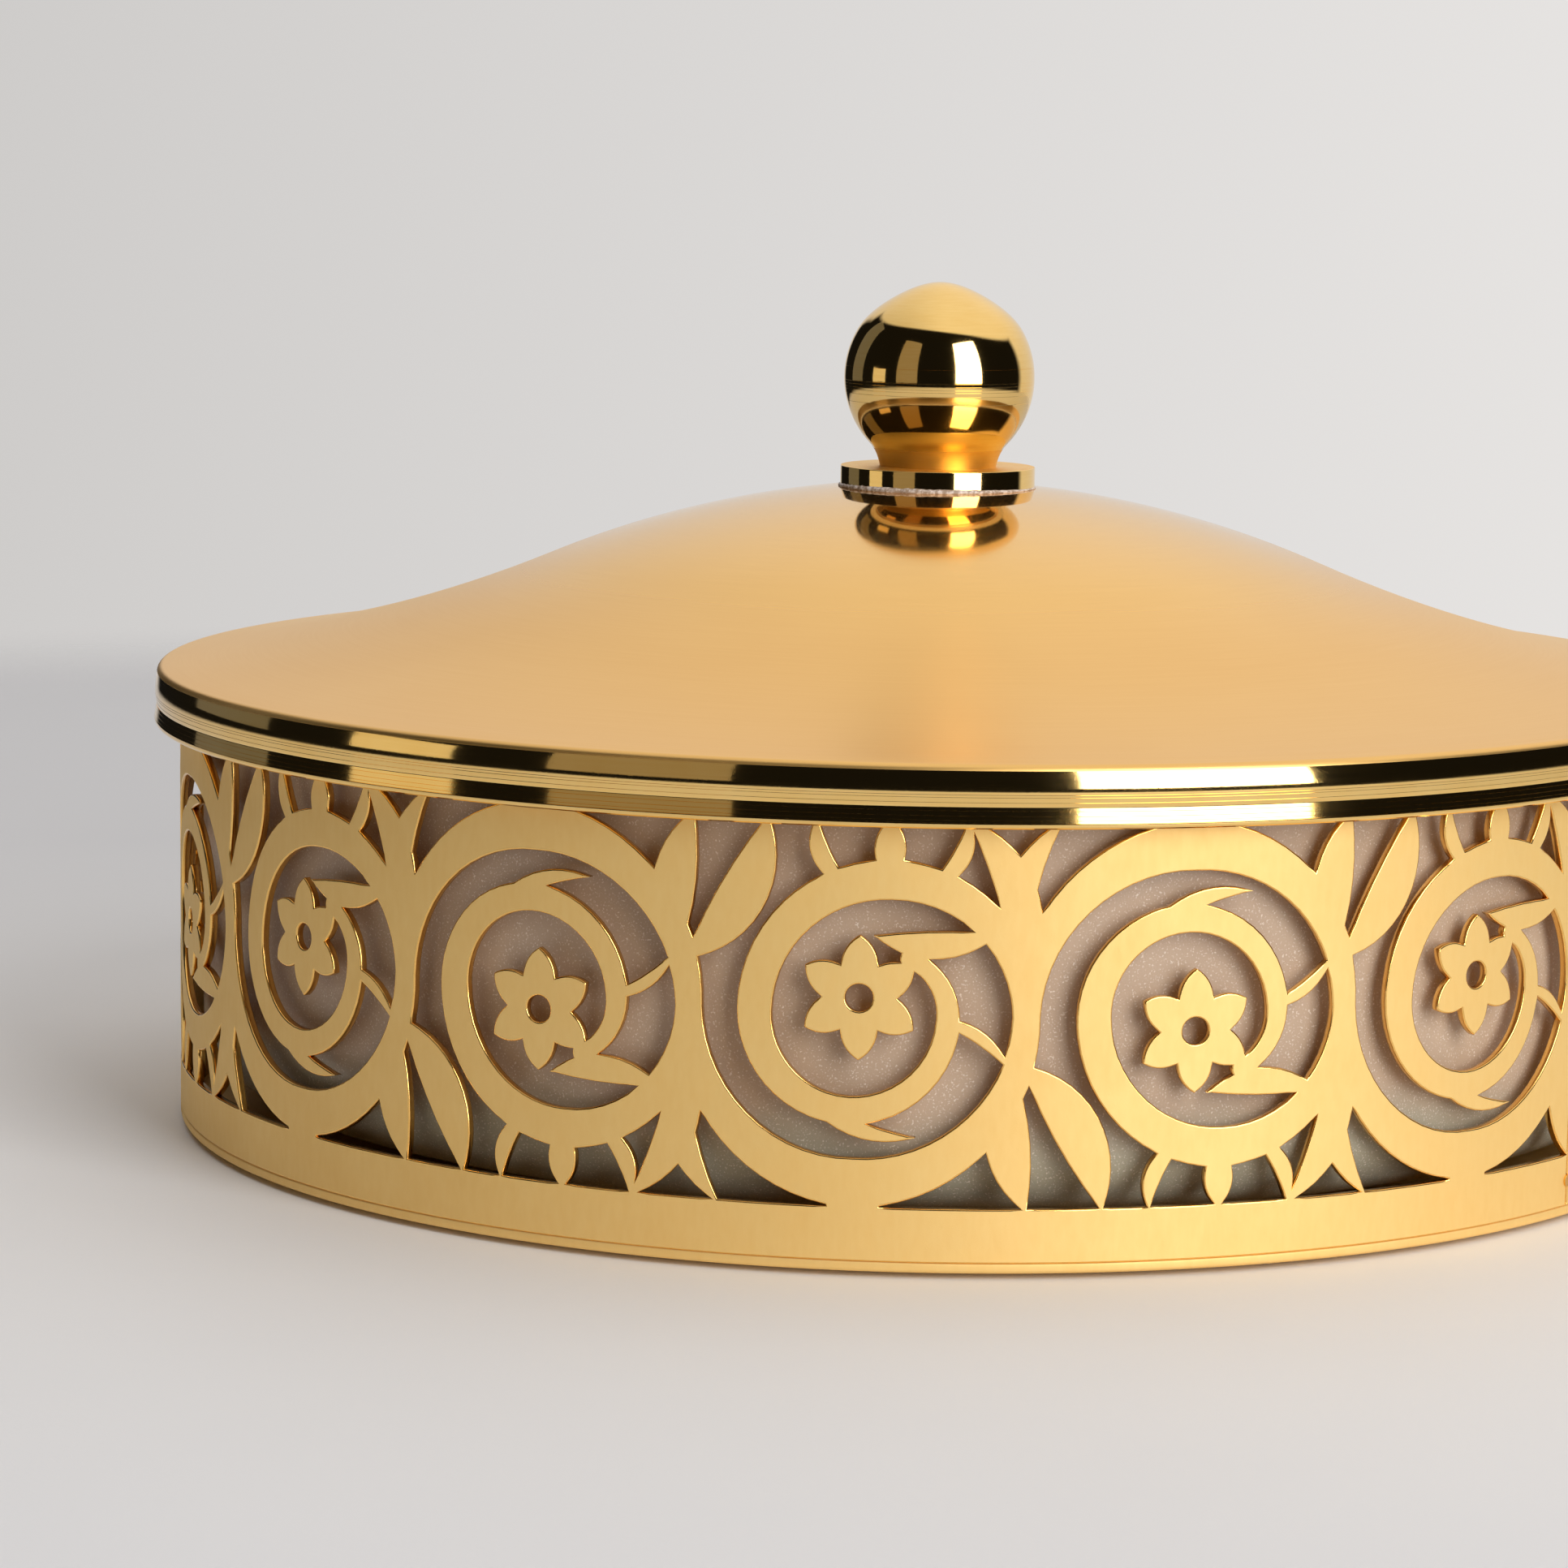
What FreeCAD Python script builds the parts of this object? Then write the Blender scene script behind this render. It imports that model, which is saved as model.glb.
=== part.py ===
import FreeCAD
import Part
import math
import os

# Covered candy bowl: a pierced band on a base plate, a rim collar, a lift-out liner and a lift-off lid.
# Millimetres, +Z up, the origin on the surface that the bowl stands on, at the middle of the foot pads.
# The front faces -Y, and angles are in degrees, counted from +X towards +Y.

# Overall
rim_diameter = 240.0
sheet_clearance = 0.05
cut_overrun = 2.0

# Foot pads
pad_count = 4
pad_diameter = 18.0
pad_thickness = 0.8
pad_edge_inset = 9.0
first_pad_angle = 45.0

# Base plate
plate_thickness = 1.4
plate_edge_round = 0.5
locating_wall_height = 4.0
locating_wall_thickness = 1.0

# Pierced band
rim_overhang = 4.0
band_thickness = 1.2
plain_strip_height = 7.4
pierced_height = 52.0
hidden_strip_height = 0.8
seam_width = 0.15
seam_angle = -38.5
tack_radius = 0.9
tack_height = 0.3

# Rim collar
collar_height = 2.9
collar_web = 1.7
collar_skirt_thickness = 1.9
collar_lip_round = 0.8

# Liner
flange_thickness = 0.8
flange_overlap = 1.0
flange_side_clearance = 0.3
liner_side_clearance = 0.4
liner_wall = 2.0
liner_corner_radius = 10.0
liner_floor_gap = 4.6

# Lid shell
lid_sheet = 1.0
lid_edge_setback = 0.2
lid_edge_height = 5.7
lid_edge_round = 1.5
lid_curl_radius = 2.1
lid_lip_width = 2.0
dome_steepest_degrees = 23.2
dome_rim_degrees = 7.5

# Locating hoop under the lid
hoop_clearance = 0.5
hoop_thickness = 1.0
hoop_engagement = 5.0

# Knob and the screw that holds it
knob_flange_radius = 15.0
knob_flange_side_height = 3.2
neck_radius = 9.5
neck_height = 2.4
ball_radius = 14.65
screw_radius = 2.5
screw_hole_clearance = 0.25
screw_engagement = 9.0
screw_hole_spare_depth = 1.5
thread_clearance = 0.05
screw_head_radius = 4.6
screw_head_height = 3.0
screw_slot_width = 1.2
screw_slot_depth = 1.2
washer_radius = 6.5
washer_thickness = 1.0

# Shares of the dome's run and of the scroll's radius; the scroll is the ornament of the band
dome_crown_share = 0.51
repeat_width_share = 1.75
branch_radius_shares = (0.80, 0.80, 0.57, 0.57, 0.36)
branch_turn_degrees = (-90, -90, -90, -90, -70)
branch_width_shares = (0.17, 0.24, 0.21, 0.17, 0.14, 0.10)
stem_width_shares = (0.17, 0.30, 0.17)
crest_tie_share = 0.10
blossom_centre_shares = (1.02, -0.10)
blossom_radius_share = 0.37
blossom_disc_share = 0.42
blossom_eye_share = 0.22
blossom_petal_count = 6
petal_bulge_share = 0.30
strip_overlap_share = 0.02
least_opening_share = 0.004
tack_place_shares = (-0.12, 0.14)
least_repeat_count = 3
touch_share = 0.001

# Leaves of one scroll: bases and tips in shares of its radius, bulges in shares of the leaf's length
under_leaf_degrees = (-74, -91, -108)
under_leaf_tip_shares = (1.64, 1.19, 0.76)
under_leaf_bulge_shares = ((0.30, -0.04), (0.26, 0.26), (-0.04, 0.30))
fork_leaf_base_shares = ((-0.05, 0.16), (0.01, 0.16))
fork_leaf_tip_shares = (-0.36, 0.20)
fork_leaf_bulge_shares = ((-0.03, 0.26), (0.26, -0.07))
foot_leaf_base_shares = ((-0.07, -0.30), (-0.03, -0.28))
foot_leaf_tip_shares = (0.02, 0.47)
foot_leaf_bulge_shares = ((0.07, 0.24), (0.25, 0.04))
shoot_degrees = (118, -38, 20)
shoot_tip_shares = ((1.36, 0.72), (1.10, -0.47), (1.45, 0.02))
shoot_bulge_shares = ((0.17, -0.03), (0.03, 0.20), (0.20, -0.05))
shoot_root_share = 0.97

# Derived radii and heights
rim_radius = rim_diameter / 2
band_outer_radius = rim_radius - rim_overhang
band_inner_radius = band_outer_radius - band_thickness
plate_bottom = pad_thickness
plate_top = plate_bottom + plate_thickness
pierced_bottom = plate_top + plain_strip_height
band_top = pierced_bottom + pierced_height + hidden_strip_height
collar_top = band_top + collar_web
collar_bottom = collar_top - collar_height
skirt_outer_radius = band_inner_radius - sheet_clearance
skirt_inner_radius = skirt_outer_radius - collar_skirt_thickness
ledge_radius = skirt_inner_radius + flange_overlap + flange_side_clearance
ledge_height = collar_top - flange_thickness
liner_outer_radius = skirt_inner_radius - liner_side_clearance
liner_inner_radius = liner_outer_radius - liner_wall
liner_bottom = plate_top + liner_floor_gap
lid_edge_radius = rim_radius - lid_edge_setback
lid_rim_top = collar_top + lid_edge_height
hole_radius = screw_radius + screw_hole_clearance

# Dome: a crown arc about the axis runs into a cove arc, which meets the rounded rim at a slight slope
dome_slope = math.radians(dome_steepest_degrees)
rim_slope = math.radians(dome_rim_degrees)
round_centre_radius = lid_edge_radius - lid_edge_round
round_centre_height = lid_rim_top - lid_edge_round * math.cos(rim_slope)
dome_run = round_centre_radius + lid_edge_round * math.sin(rim_slope)
crown_radius = dome_crown_share * dome_run / math.sin(dome_slope)
cove_radius = (1 - dome_crown_share) * dome_run / (math.sin(dome_slope) - math.sin(rim_slope))
crown_drop = crown_radius * (1 - math.cos(dome_slope))
cove_drop = cove_radius * (math.cos(rim_slope) - math.cos(dome_slope))
dome_apex = lid_rim_top + crown_drop + cove_drop
crown_centre_height = dome_apex - crown_radius
cove_centre_radius = dome_run + cove_radius * math.sin(rim_slope)
cove_centre_height = lid_rim_top + cove_radius * math.cos(rim_slope)

# Scroll ornament: one repeat holds two scrolls, the second upside down
band_circumference = 2 * math.pi * band_outer_radius
repeats_that_fit = round(band_circumference / (pierced_height * repeat_width_share))
repeat_count = max(least_repeat_count, repeats_that_fit)
repeat_width = band_circumference / repeat_count
scroll_radius = repeat_width / 4
mid_height = pierced_height / 2

origin = FreeCAD.Vector(0, 0, 0)
x_axis = FreeCAD.Vector(1, 0, 0)
z_axis = FreeCAD.Vector(0, 0, 1)


def section(radius, height):
    """Point of a turned profile."""
    return FreeCAD.Vector(radius, 0, height)


def line(start, end):
    """Straight edge."""
    return Part.LineSegment(start, end).toShape()


def section_arc(centre, radius, start_angle, end_angle):
    """Arc of a turned profile about a centre, between two angles."""
    points = []
    for share in (0, 0.5, 1):
        angle = math.radians(start_angle + (end_angle - start_angle) * share)
        points.append(centre + section(math.cos(angle), math.sin(angle)) * radius)
    return Part.Arc(*points).toShape()


def start_of(edge):
    """First point of an edge, in its own direction."""
    return edge.valueAt(edge.FirstParameter)


def end_of(edge):
    """Last point of an edge, in its own direction."""
    return edge.valueAt(edge.LastParameter)


def turned(pieces):
    """Solid of revolution of a closed profile, given as points and edges in order."""
    edges = []
    joints = [(item, item) if isinstance(item, FreeCAD.Vector) else (start_of(item), end_of(item))
              for item in pieces]
    for index, item in enumerate(pieces):
        if not isinstance(item, FreeCAD.Vector):
            edges.append(item)
        leave = joints[index][1]
        arrive = joints[(index + 1) % len(pieces)][0]
        if not leave.isEqual(arrive, touch_share * sheet_clearance):
            edges.append(line(leave, arrive))
    return Part.Face(Part.Wire(edges)).revolve(origin, z_axis, 360)


def annulus(outer_radius, inner_radius, bottom, height):
    """Plain ring about the axis."""
    outer = Part.makeCylinder(outer_radius, height, section(0, bottom))
    inner = Part.makeCylinder(inner_radius, height + 2 * cut_overrun, section(0, bottom - cut_overrun))
    return outer.cut(inner)


def dome_height(radius, depth):
    """Height of the dome at a radius, on the surface that lies a depth below its outside."""
    if radius <= (crown_radius - depth) * math.sin(dome_slope):
        return crown_centre_height + math.sqrt((crown_radius - depth) ** 2 - radius ** 2)
    return cove_centre_height - math.sqrt((cove_radius + depth) ** 2 - (cove_centre_radius - radius) ** 2)


def crown_arc(inner_radius, outer_radius, depth):
    """Arc of the crown between two radii, on the surface that lies a depth below its outside."""
    radius = crown_radius - depth
    start = math.degrees(math.acos(inner_radius / radius))
    end = math.degrees(math.acos(outer_radius / radius))
    return section_arc(section(0, crown_centre_height), radius, start, end)


def cove_arc(inner_radius, outer_radius, depth):
    """Arc of the cove between two radii, on the surface that lies a depth below its outside."""
    radius = cove_radius + depth
    start = 180 + math.degrees(math.acos((cove_centre_radius - inner_radius) / radius))
    end = 180 + math.degrees(math.acos((cove_centre_radius - outer_radius) / radius))
    return section_arc(section(cove_centre_radius, cove_centre_height), radius, start, end)


# Flat faces of the ornament, drawn as the band is seen from outside, with v up from the plain strip

def flat(u, v):
    """Point of the unrolled band."""
    return FreeCAD.Vector(u, v, 0)


def on_scroll(u_share, v_share):
    """Point given in scroll radii from the start of the scroll at mid height."""
    return flat(u_share * scroll_radius, mid_height + v_share * scroll_radius)


def ahead(angle):
    """Unit vector of a heading."""
    return FreeCAD.Vector(math.cos(angle), math.sin(angle), 0)


def leftwards(angle):
    """Unit vector to the left of a heading."""
    return FreeCAD.Vector(-math.sin(angle), math.cos(angle), 0)


def around(centre, radius, degrees):
    """Point on a circle of the unrolled band."""
    return centre + ahead(math.radians(degrees)) * radius


def tapered_stroke(start, heading, bends, widths):
    """Stroke along tangent arcs, each a radius and a turn, with a width at each joint and round ends."""
    angle = math.radians(heading)
    place = start
    left_sides = []
    right_sides = []
    joints = []
    for (radius, turn), near_width, far_width in zip(bends, widths, widths[1:]):
        sweep = math.radians(turn)
        offset = math.copysign(radius, sweep)
        centre = place + leftwards(angle) * offset
        stations = []
        for share in (0, 0.5, 1):
            bearing = angle + sweep * share
            middle = centre - leftwards(bearing) * offset
            half_width = leftwards(bearing) * ((near_width + (far_width - near_width) * share) / 2)
            stations.append((middle + half_width, middle - half_width))
        left_sides.append(Part.Arc(*[station[0] for station in stations]).toShape())
        right_sides.append(Part.Arc(*[station[1] for station in stations]).toShape())
        joints.append((stations[0], place - ahead(angle) * (near_width / 2)))
        place = middle
        angle = bearing
        joints.append((stations[2], place + ahead(angle) * (far_width / 2)))
    caps = []
    for (left, right), tip in (joints[0], joints[-1]):
        caps.append(Part.Arc(left, tip, right).toShape())
    edges = Part.__sortEdges__(left_sides + right_sides + caps)
    return Part.Face(Part.Wire(edges))


def leaf(base, tip, left_bulge_share, right_bulge_share):
    """Pointed leaf between two points; each side is an arc whose bulge is a share of the length."""
    length = tip - base
    across = FreeCAD.Vector(-length.y, length.x, 0)
    middle = (base + tip) / 2
    left_side = Part.Arc(base, middle + across * left_bulge_share, tip).toShape()
    right_side = Part.Arc(tip, middle - across * right_bulge_share, base).toShape()
    return Part.Face(Part.Wire([left_side, right_side]))


def disc(centre, radius):
    """Round face."""
    return Part.Face(Part.Wire(Part.Circle(centre, z_axis, radius).toShape()))


def blossom(centre, radius):
    """Round heart with pointed petals."""
    faces = [disc(centre, radius * blossom_disc_share)]
    for index in range(blossom_petal_count):
        tip = around(centre, radius, 90 + 360 * index / blossom_petal_count)
        faces.append(leaf(centre, tip, petal_bulge_share, petal_bulge_share))
    return faces


def scroll_faces():
    """Metal of one upright scroll: stem, spiral branch, blossom, and leaves that tie it to the strips."""
    widths = [share * scroll_radius for share in stem_width_shares]
    faces = [tapered_stroke(on_scroll(0, 0), 90, [(scroll_radius, -90)] * 2, widths)]
    bends = [(share * scroll_radius, turn) for share, turn in zip(branch_radius_shares, branch_turn_degrees)]
    widths = [share * scroll_radius for share in branch_width_shares]
    faces.append(tapered_stroke(on_scroll(2, 0), -90, bends, widths))
    faces.extend(blossom(on_scroll(*blossom_centre_shares), blossom_radius_share * scroll_radius))

    top = (mid_height / scroll_radius) + strip_overlap_share
    tie_gap = pierced_height - mid_height - scroll_radius
    tie_centre = flat(scroll_radius, pierced_height - tie_gap / 2)
    faces.append(disc(tie_centre, abs(tie_gap) / 2 + crest_tie_share * scroll_radius))

    outer_share = branch_radius_shares[0]
    inner_share = branch_radius_shares[2]
    outer_centre = on_scroll(2 - outer_share, 0)
    outer_radius = outer_share * scroll_radius
    inner_centre = on_scroll(2 - 2 * outer_share + inner_share, 0)
    inner_radius = inner_share * scroll_radius

    # Leaves under the branch
    for degrees, tip_share, bulges in zip(under_leaf_degrees, under_leaf_tip_shares, under_leaf_bulge_shares):
        faces.append(leaf(around(outer_centre, outer_radius, degrees), on_scroll(tip_share, -top), *bulges))
    # Leaves in the fork above the start of the stem
    for base, tip_share, bulges in zip(fork_leaf_base_shares, fork_leaf_tip_shares, fork_leaf_bulge_shares):
        faces.append(leaf(on_scroll(*base), on_scroll(tip_share, top), *bulges))
    # Leaves below the start of the stem
    for base, tip_share, bulges in zip(foot_leaf_base_shares, foot_leaf_tip_shares, foot_leaf_bulge_shares):
        faces.append(leaf(on_scroll(*base), on_scroll(tip_share, -top), *bulges))
    # Shoots inside the scroll, from the inner branch, the outer branch and the stem
    stem_circle = (on_scroll(1, 0), shoot_root_share * scroll_radius)
    circles = ((inner_centre, inner_radius), (outer_centre, outer_radius), stem_circle)
    for circle, degrees, tip, bulges in zip(circles, shoot_degrees, shoot_tip_shares, shoot_bulge_shares):
        faces.append(leaf(around(*circle, degrees), on_scroll(*tip), *bulges))
    return faces


def turned_over(face):
    """Copy of a scroll's face, upside down and one scroll further along."""
    copy = face.mirror(on_scroll(0, 0), FreeCAD.Vector(0, 1, 0))
    copy.translate(flat(repeat_width / 2, 0))
    return copy


def repeat_openings():
    """Flat openings of one repeat: the pierced height without the metal of the scrolls."""
    upright = scroll_faces()
    repeat = upright + [turned_over(face) for face in upright]
    metal = []
    steps = (-1, 0, 1)
    for step in steps:
        for face in repeat:
            copy = face.copy()
            copy.translate(flat(step * repeat_width, 0))
            metal.append(copy)
    zone = Part.makePlane(len(steps) * repeat_width, pierced_height, flat(steps[0] * repeat_width, 0))
    open_faces = zone.cut(metal[0].multiFuse(metal[1:])).Faces
    least_area = least_opening_share * scroll_radius ** 2
    kept = [face for face in open_faces
            if 0 <= face.CenterOfMass.x < repeat_width and face.Area > least_area]
    eye = disc(on_scroll(*blossom_centre_shares), blossom_eye_share * blossom_radius_share * scroll_radius)
    return kept + [eye, turned_over(eye)]


def opening_cutter(face, step):
    """Cutter through the band for a flat opening, wrapped to its place in a repeat."""
    middle = face.CenterOfMass.x
    angle = seam_angle + math.degrees(middle / band_outer_radius) + 360 * step / repeat_count
    flat_face = face.copy()
    flat_face.translate(flat(-middle, 0))
    cutter = flat_face.extrude(z_axis * (band_thickness + 2 * cut_overrun))
    cutter.translate(z_axis * (band_inner_radius - cut_overrun))
    cutter.rotate(origin, x_axis, 90)
    cutter.rotate(origin, z_axis, angle + 90)
    cutter.translate(section(0, pierced_bottom))
    return cutter


def at_seam(shape):
    """Turn a shape from +X to the seam."""
    shape.rotate(origin, z_axis, seam_angle)
    return shape


def make_base_plate():
    """Pressed plate with a rounded lower edge and a wall that centres the band."""
    wall_outer = band_inner_radius - sheet_clearance
    wall_inner = wall_outer - locating_wall_thickness
    round_centre = section(band_outer_radius - plate_edge_round, plate_bottom + plate_edge_round)
    return turned([
        section(0, plate_bottom),
        section_arc(round_centre, plate_edge_round, -90, 0),
        section(band_outer_radius, plate_top),
        section(wall_outer, plate_top),
        section(wall_outer, plate_top + locating_wall_height),
        section(wall_inner, plate_top + locating_wall_height),
        section(wall_inner, plate_top),
        section(0, plate_top),
    ])


def make_pierced_band():
    """Rolled strip with its scroll openings and the butt seam where its ends meet."""
    band_height = band_top - plate_top
    ring = annulus(band_outer_radius, band_inner_radius, plate_top, band_height)
    openings = repeat_openings()
    cutters = [opening_cutter(face, step) for step in range(repeat_count) for face in openings]
    corner = FreeCAD.Vector(band_inner_radius - cut_overrun, -seam_width / 2, plate_top - cut_overrun)
    slit = Part.makeBox(band_thickness + 2 * cut_overrun, seam_width, band_height + 2 * cut_overrun, corner)
    return ring.cut(cutters + [at_seam(slit)])


def make_band_seam_tacks():
    """Small solder beads that bridge the butt seam on the outside of the band."""
    heights = [plate_top + plain_strip_height / 2]
    heights.extend(pierced_bottom + mid_height + share * scroll_radius for share in tack_place_shares)
    skin = annulus(band_outer_radius + tack_height, band_outer_radius, plate_top, band_top - plate_top)
    beads = []
    for height in heights:
        start = section(band_outer_radius - cut_overrun, height)
        pin = Part.makeCylinder(tack_radius, 2 * cut_overrun, start, x_axis)
        beads.append(at_seam(pin.common(skin)).Solids[0])
    return Part.makeCompound(beads)


def make_rim_collar():
    """Turned ring that caps the band in a groove and holds the liner on a ledge."""
    groove_inner = band_inner_radius - sheet_clearance
    groove_outer = band_outer_radius + sheet_clearance
    lip_centre = section(rim_radius - collar_lip_round, collar_bottom + collar_lip_round)
    return turned([
        section(skirt_inner_radius, collar_bottom),
        section(groove_inner, collar_bottom),
        section(groove_inner, band_top),
        section(groove_outer, band_top),
        section(groove_outer, collar_bottom),
        section_arc(lip_centre, collar_lip_round, -90, 0),
        section(rim_radius, collar_top),
        section(ledge_radius, collar_top),
        section(ledge_radius, ledge_height),
        section(skirt_inner_radius, ledge_height),
    ])


def make_liner_bowl():
    """Straight-sided bowl with a rounded foot and a thin flange that hangs on the collar's ledge."""
    inner_corner = liner_corner_radius - liner_wall
    corner_centre = section(liner_outer_radius - liner_corner_radius, liner_bottom + liner_corner_radius)
    flange_radius = ledge_radius - flange_side_clearance
    return turned([
        section(0, liner_bottom),
        section_arc(corner_centre, liner_corner_radius, -90, 0),
        section(liner_outer_radius, ledge_height),
        section(flange_radius, ledge_height),
        section(flange_radius, collar_top),
        section(liner_inner_radius, collar_top),
        section_arc(corner_centre, inner_corner, 0, -90),
        section(0, liner_bottom + liner_wall),
    ])


def dome_arcs(depth):
    """Crown and cove arcs of the dome, outwards from the hole, at a depth below its outside."""
    turning_radius = (crown_radius - depth) * math.sin(dome_slope)
    end_radius = dome_run - depth * math.sin(rim_slope)
    return crown_arc(hole_radius, turning_radius, depth), cove_arc(turning_radius, end_radius, depth)


def reverse_arc(edge):
    """The same arc drawn from its other end."""
    middle = edge.valueAt((edge.FirstParameter + edge.LastParameter) / 2)
    return Part.Arc(end_of(edge), middle, start_of(edge)).toShape()


def make_lid_shell():
    """Spun sheet: bell dome, rounded rim, short wall and a lip curled in to sit on the collar."""
    round_centre = section(round_centre_radius, round_centre_height)
    round_start = 90 - dome_rim_degrees
    curl_centre = section(lid_edge_radius - lid_curl_radius, collar_top + lid_curl_radius)
    lip_end = lid_edge_radius - lid_curl_radius - lid_lip_width
    outer_crown, outer_cove = dome_arcs(0)
    inner_crown, inner_cove = dome_arcs(lid_sheet)
    return turned([
        outer_crown,
        outer_cove,
        section_arc(round_centre, lid_edge_round, round_start, 0),
        section_arc(curl_centre, lid_curl_radius, 0, -90),
        section(lip_end, collar_top),
        section(lip_end, collar_top + lid_sheet),
        section_arc(curl_centre, lid_curl_radius - lid_sheet, -90, 0),
        section_arc(round_centre, lid_edge_round - lid_sheet, 0, round_start),
        reverse_arc(inner_cove),
        reverse_arc(inner_crown),
    ])


def make_lid_locating_hoop():
    """Hoop under the dome that drops inside the liner and keeps the lid central."""
    hoop_outer = liner_inner_radius - hoop_clearance
    hoop_inner = hoop_outer - hoop_thickness
    bottom = collar_top - hoop_engagement
    return turned([
        section(hoop_outer, bottom),
        section(hoop_inner, bottom),
        cove_arc(hoop_inner, hoop_outer, lid_sheet),
    ])


# Places of the knob and its washer on the dome
neck_bottom = dome_height(knob_flange_radius, 0) + knob_flange_side_height
washer_top = dome_height(washer_radius, lid_sheet)
washer_bottom = washer_top - washer_thickness


def make_knob_flange():
    """Disc between the dome and the ball, hollowed below to sit on the dome."""
    return turned([
        crown_arc(hole_radius, knob_flange_radius, 0),
        section(knob_flange_radius, neck_bottom),
        section(hole_radius, neck_bottom),
    ])


def make_ball_knob():
    """Turned ball on a short neck, with a blind tapped hole for the screw."""
    rise = math.sqrt(ball_radius ** 2 - neck_radius ** 2)
    centre = section(0, neck_bottom + neck_height + rise)
    join_angle = -math.degrees(math.atan2(rise, neck_radius))
    bore = screw_radius + thread_clearance
    bore_top = neck_bottom + screw_engagement + screw_hole_spare_depth
    return turned([
        section(bore, neck_bottom),
        section(neck_radius, neck_bottom),
        section_arc(centre, ball_radius, join_angle, 90),
        section(0, bore_top),
        section(bore, bore_top),
    ])


def make_knob_washer():
    """Flat washer against the inside of the dome."""
    return annulus(washer_radius, hole_radius, washer_bottom, washer_thickness)


def make_knob_screw():
    """Slotted screw from inside the lid, through the washer, dome and flange into the ball."""
    head_bottom = washer_bottom - screw_head_height
    head = Part.makeCylinder(screw_head_radius, screw_head_height, section(0, head_bottom))
    shank_length = neck_bottom + screw_engagement - washer_bottom
    shank = Part.makeCylinder(screw_radius, shank_length, section(0, washer_bottom))
    corner = FreeCAD.Vector(-screw_head_radius - cut_overrun, -screw_slot_width / 2, head_bottom - cut_overrun)
    slot_length = 2 * (screw_head_radius + cut_overrun)
    slot = Part.makeBox(slot_length, screw_slot_width, screw_slot_depth + cut_overrun, corner)
    return head.fuse(shank).cut(slot)


def make_foot_pad(index):
    """Thin felt disc under the base plate."""
    reach = band_outer_radius - pad_edge_inset - pad_diameter / 2
    pad = Part.makeCylinder(pad_diameter / 2, pad_thickness, section(reach, 0))
    pad.rotate(origin, z_axis, first_pad_angle + 360 * index / pad_count)
    return pad


nodes = {
    "base_plate": make_base_plate(),
    "pierced_band": make_pierced_band(),
    "band_seam_tacks": make_band_seam_tacks(),
    "rim_collar": make_rim_collar(),
    "liner_bowl": make_liner_bowl(),
    "lid_shell": make_lid_shell(),
    "lid_locating_hoop": make_lid_locating_hoop(),
    "knob_flange": make_knob_flange(),
    "ball_knob": make_ball_knob(),
    "knob_washer": make_knob_washer(),
    "knob_screw": make_knob_screw(),
}
for pad_index in range(pad_count):
    nodes["foot_pad_%d" % (pad_index + 1)] = make_foot_pad(pad_index)

os.makedirs("parts", exist_ok=True)
for name, shape in nodes.items():
    shape.exportStep("parts/%s.step" % name)
    box = shape.BoundBox
    heights = (round(box.ZMin, 2), round(box.ZMax, 2))
    print(name, len(shape.Solids), "solids", round(shape.Volume, 1), "mm3, z", *heights)
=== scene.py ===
"""Looks of the covered candy bowl: pierced band, base plate, rim collar, liner, lid and ball knob."""

import logging
import math
from dataclasses import dataclass, field
from enum import Enum

import bpy
from mathutils import Matrix, Vector, kdtree, noise
from mathutils.geometry import delaunay_2d_cdt


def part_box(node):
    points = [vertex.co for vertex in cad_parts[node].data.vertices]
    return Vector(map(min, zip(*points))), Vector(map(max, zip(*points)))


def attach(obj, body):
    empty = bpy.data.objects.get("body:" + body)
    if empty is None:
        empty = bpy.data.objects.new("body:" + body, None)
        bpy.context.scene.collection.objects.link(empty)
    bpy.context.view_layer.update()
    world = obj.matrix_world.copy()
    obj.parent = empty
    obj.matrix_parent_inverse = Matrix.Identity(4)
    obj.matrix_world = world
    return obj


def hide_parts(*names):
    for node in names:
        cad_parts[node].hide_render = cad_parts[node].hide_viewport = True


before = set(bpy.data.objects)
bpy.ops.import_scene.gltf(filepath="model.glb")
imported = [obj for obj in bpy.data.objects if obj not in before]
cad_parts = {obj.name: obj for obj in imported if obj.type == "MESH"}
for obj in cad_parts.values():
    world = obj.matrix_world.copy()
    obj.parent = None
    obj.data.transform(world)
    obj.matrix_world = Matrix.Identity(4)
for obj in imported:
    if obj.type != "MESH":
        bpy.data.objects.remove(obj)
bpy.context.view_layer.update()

log = logging.getLogger("candy_bowl")

MM = 0.001
MERGE = MM / 500
FULL_TURN = 2 * math.pi
PHOTO_WIDTH = 1932
BARB_TURN = math.radians(135)
# Most values of a noise lie between these two
NOISE_LOW = 0.3
NOISE_HIGH = 0.7
# Numbers of a mix node's colour inputs, whose names other inputs share
MIX_FIRST = 6
MIX_SECOND = 7

Colour = tuple[float, float, float, float]


class Body(Enum):
    """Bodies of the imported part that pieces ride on."""

    BOWL = "bowl"
    LINER = "liner"
    LID = "lid"


class Slot(Enum):
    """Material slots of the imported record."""

    BAND_GOLD = "band_gold"
    SATIN_GOLD = "satin_gold"
    POLISHED_GOLD = "polished_gold"
    FROSTED_LINER = "frosted_liner"
    FELT = "felt"


class Grain(Enum):
    """How the marks of a tool run over a finish."""

    TURNED = "turned"
    ROLLED = "rolled"


def reach(node: str) -> float:
    """Outer radius of a round CAD node."""
    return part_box(node)[1].x


def bottom_of(node: str) -> float:
    """Lowest height of a CAD node."""
    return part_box(node)[0].z


def top_of(node: str) -> float:
    """Highest height of a CAD node."""
    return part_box(node)[1].z


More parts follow.
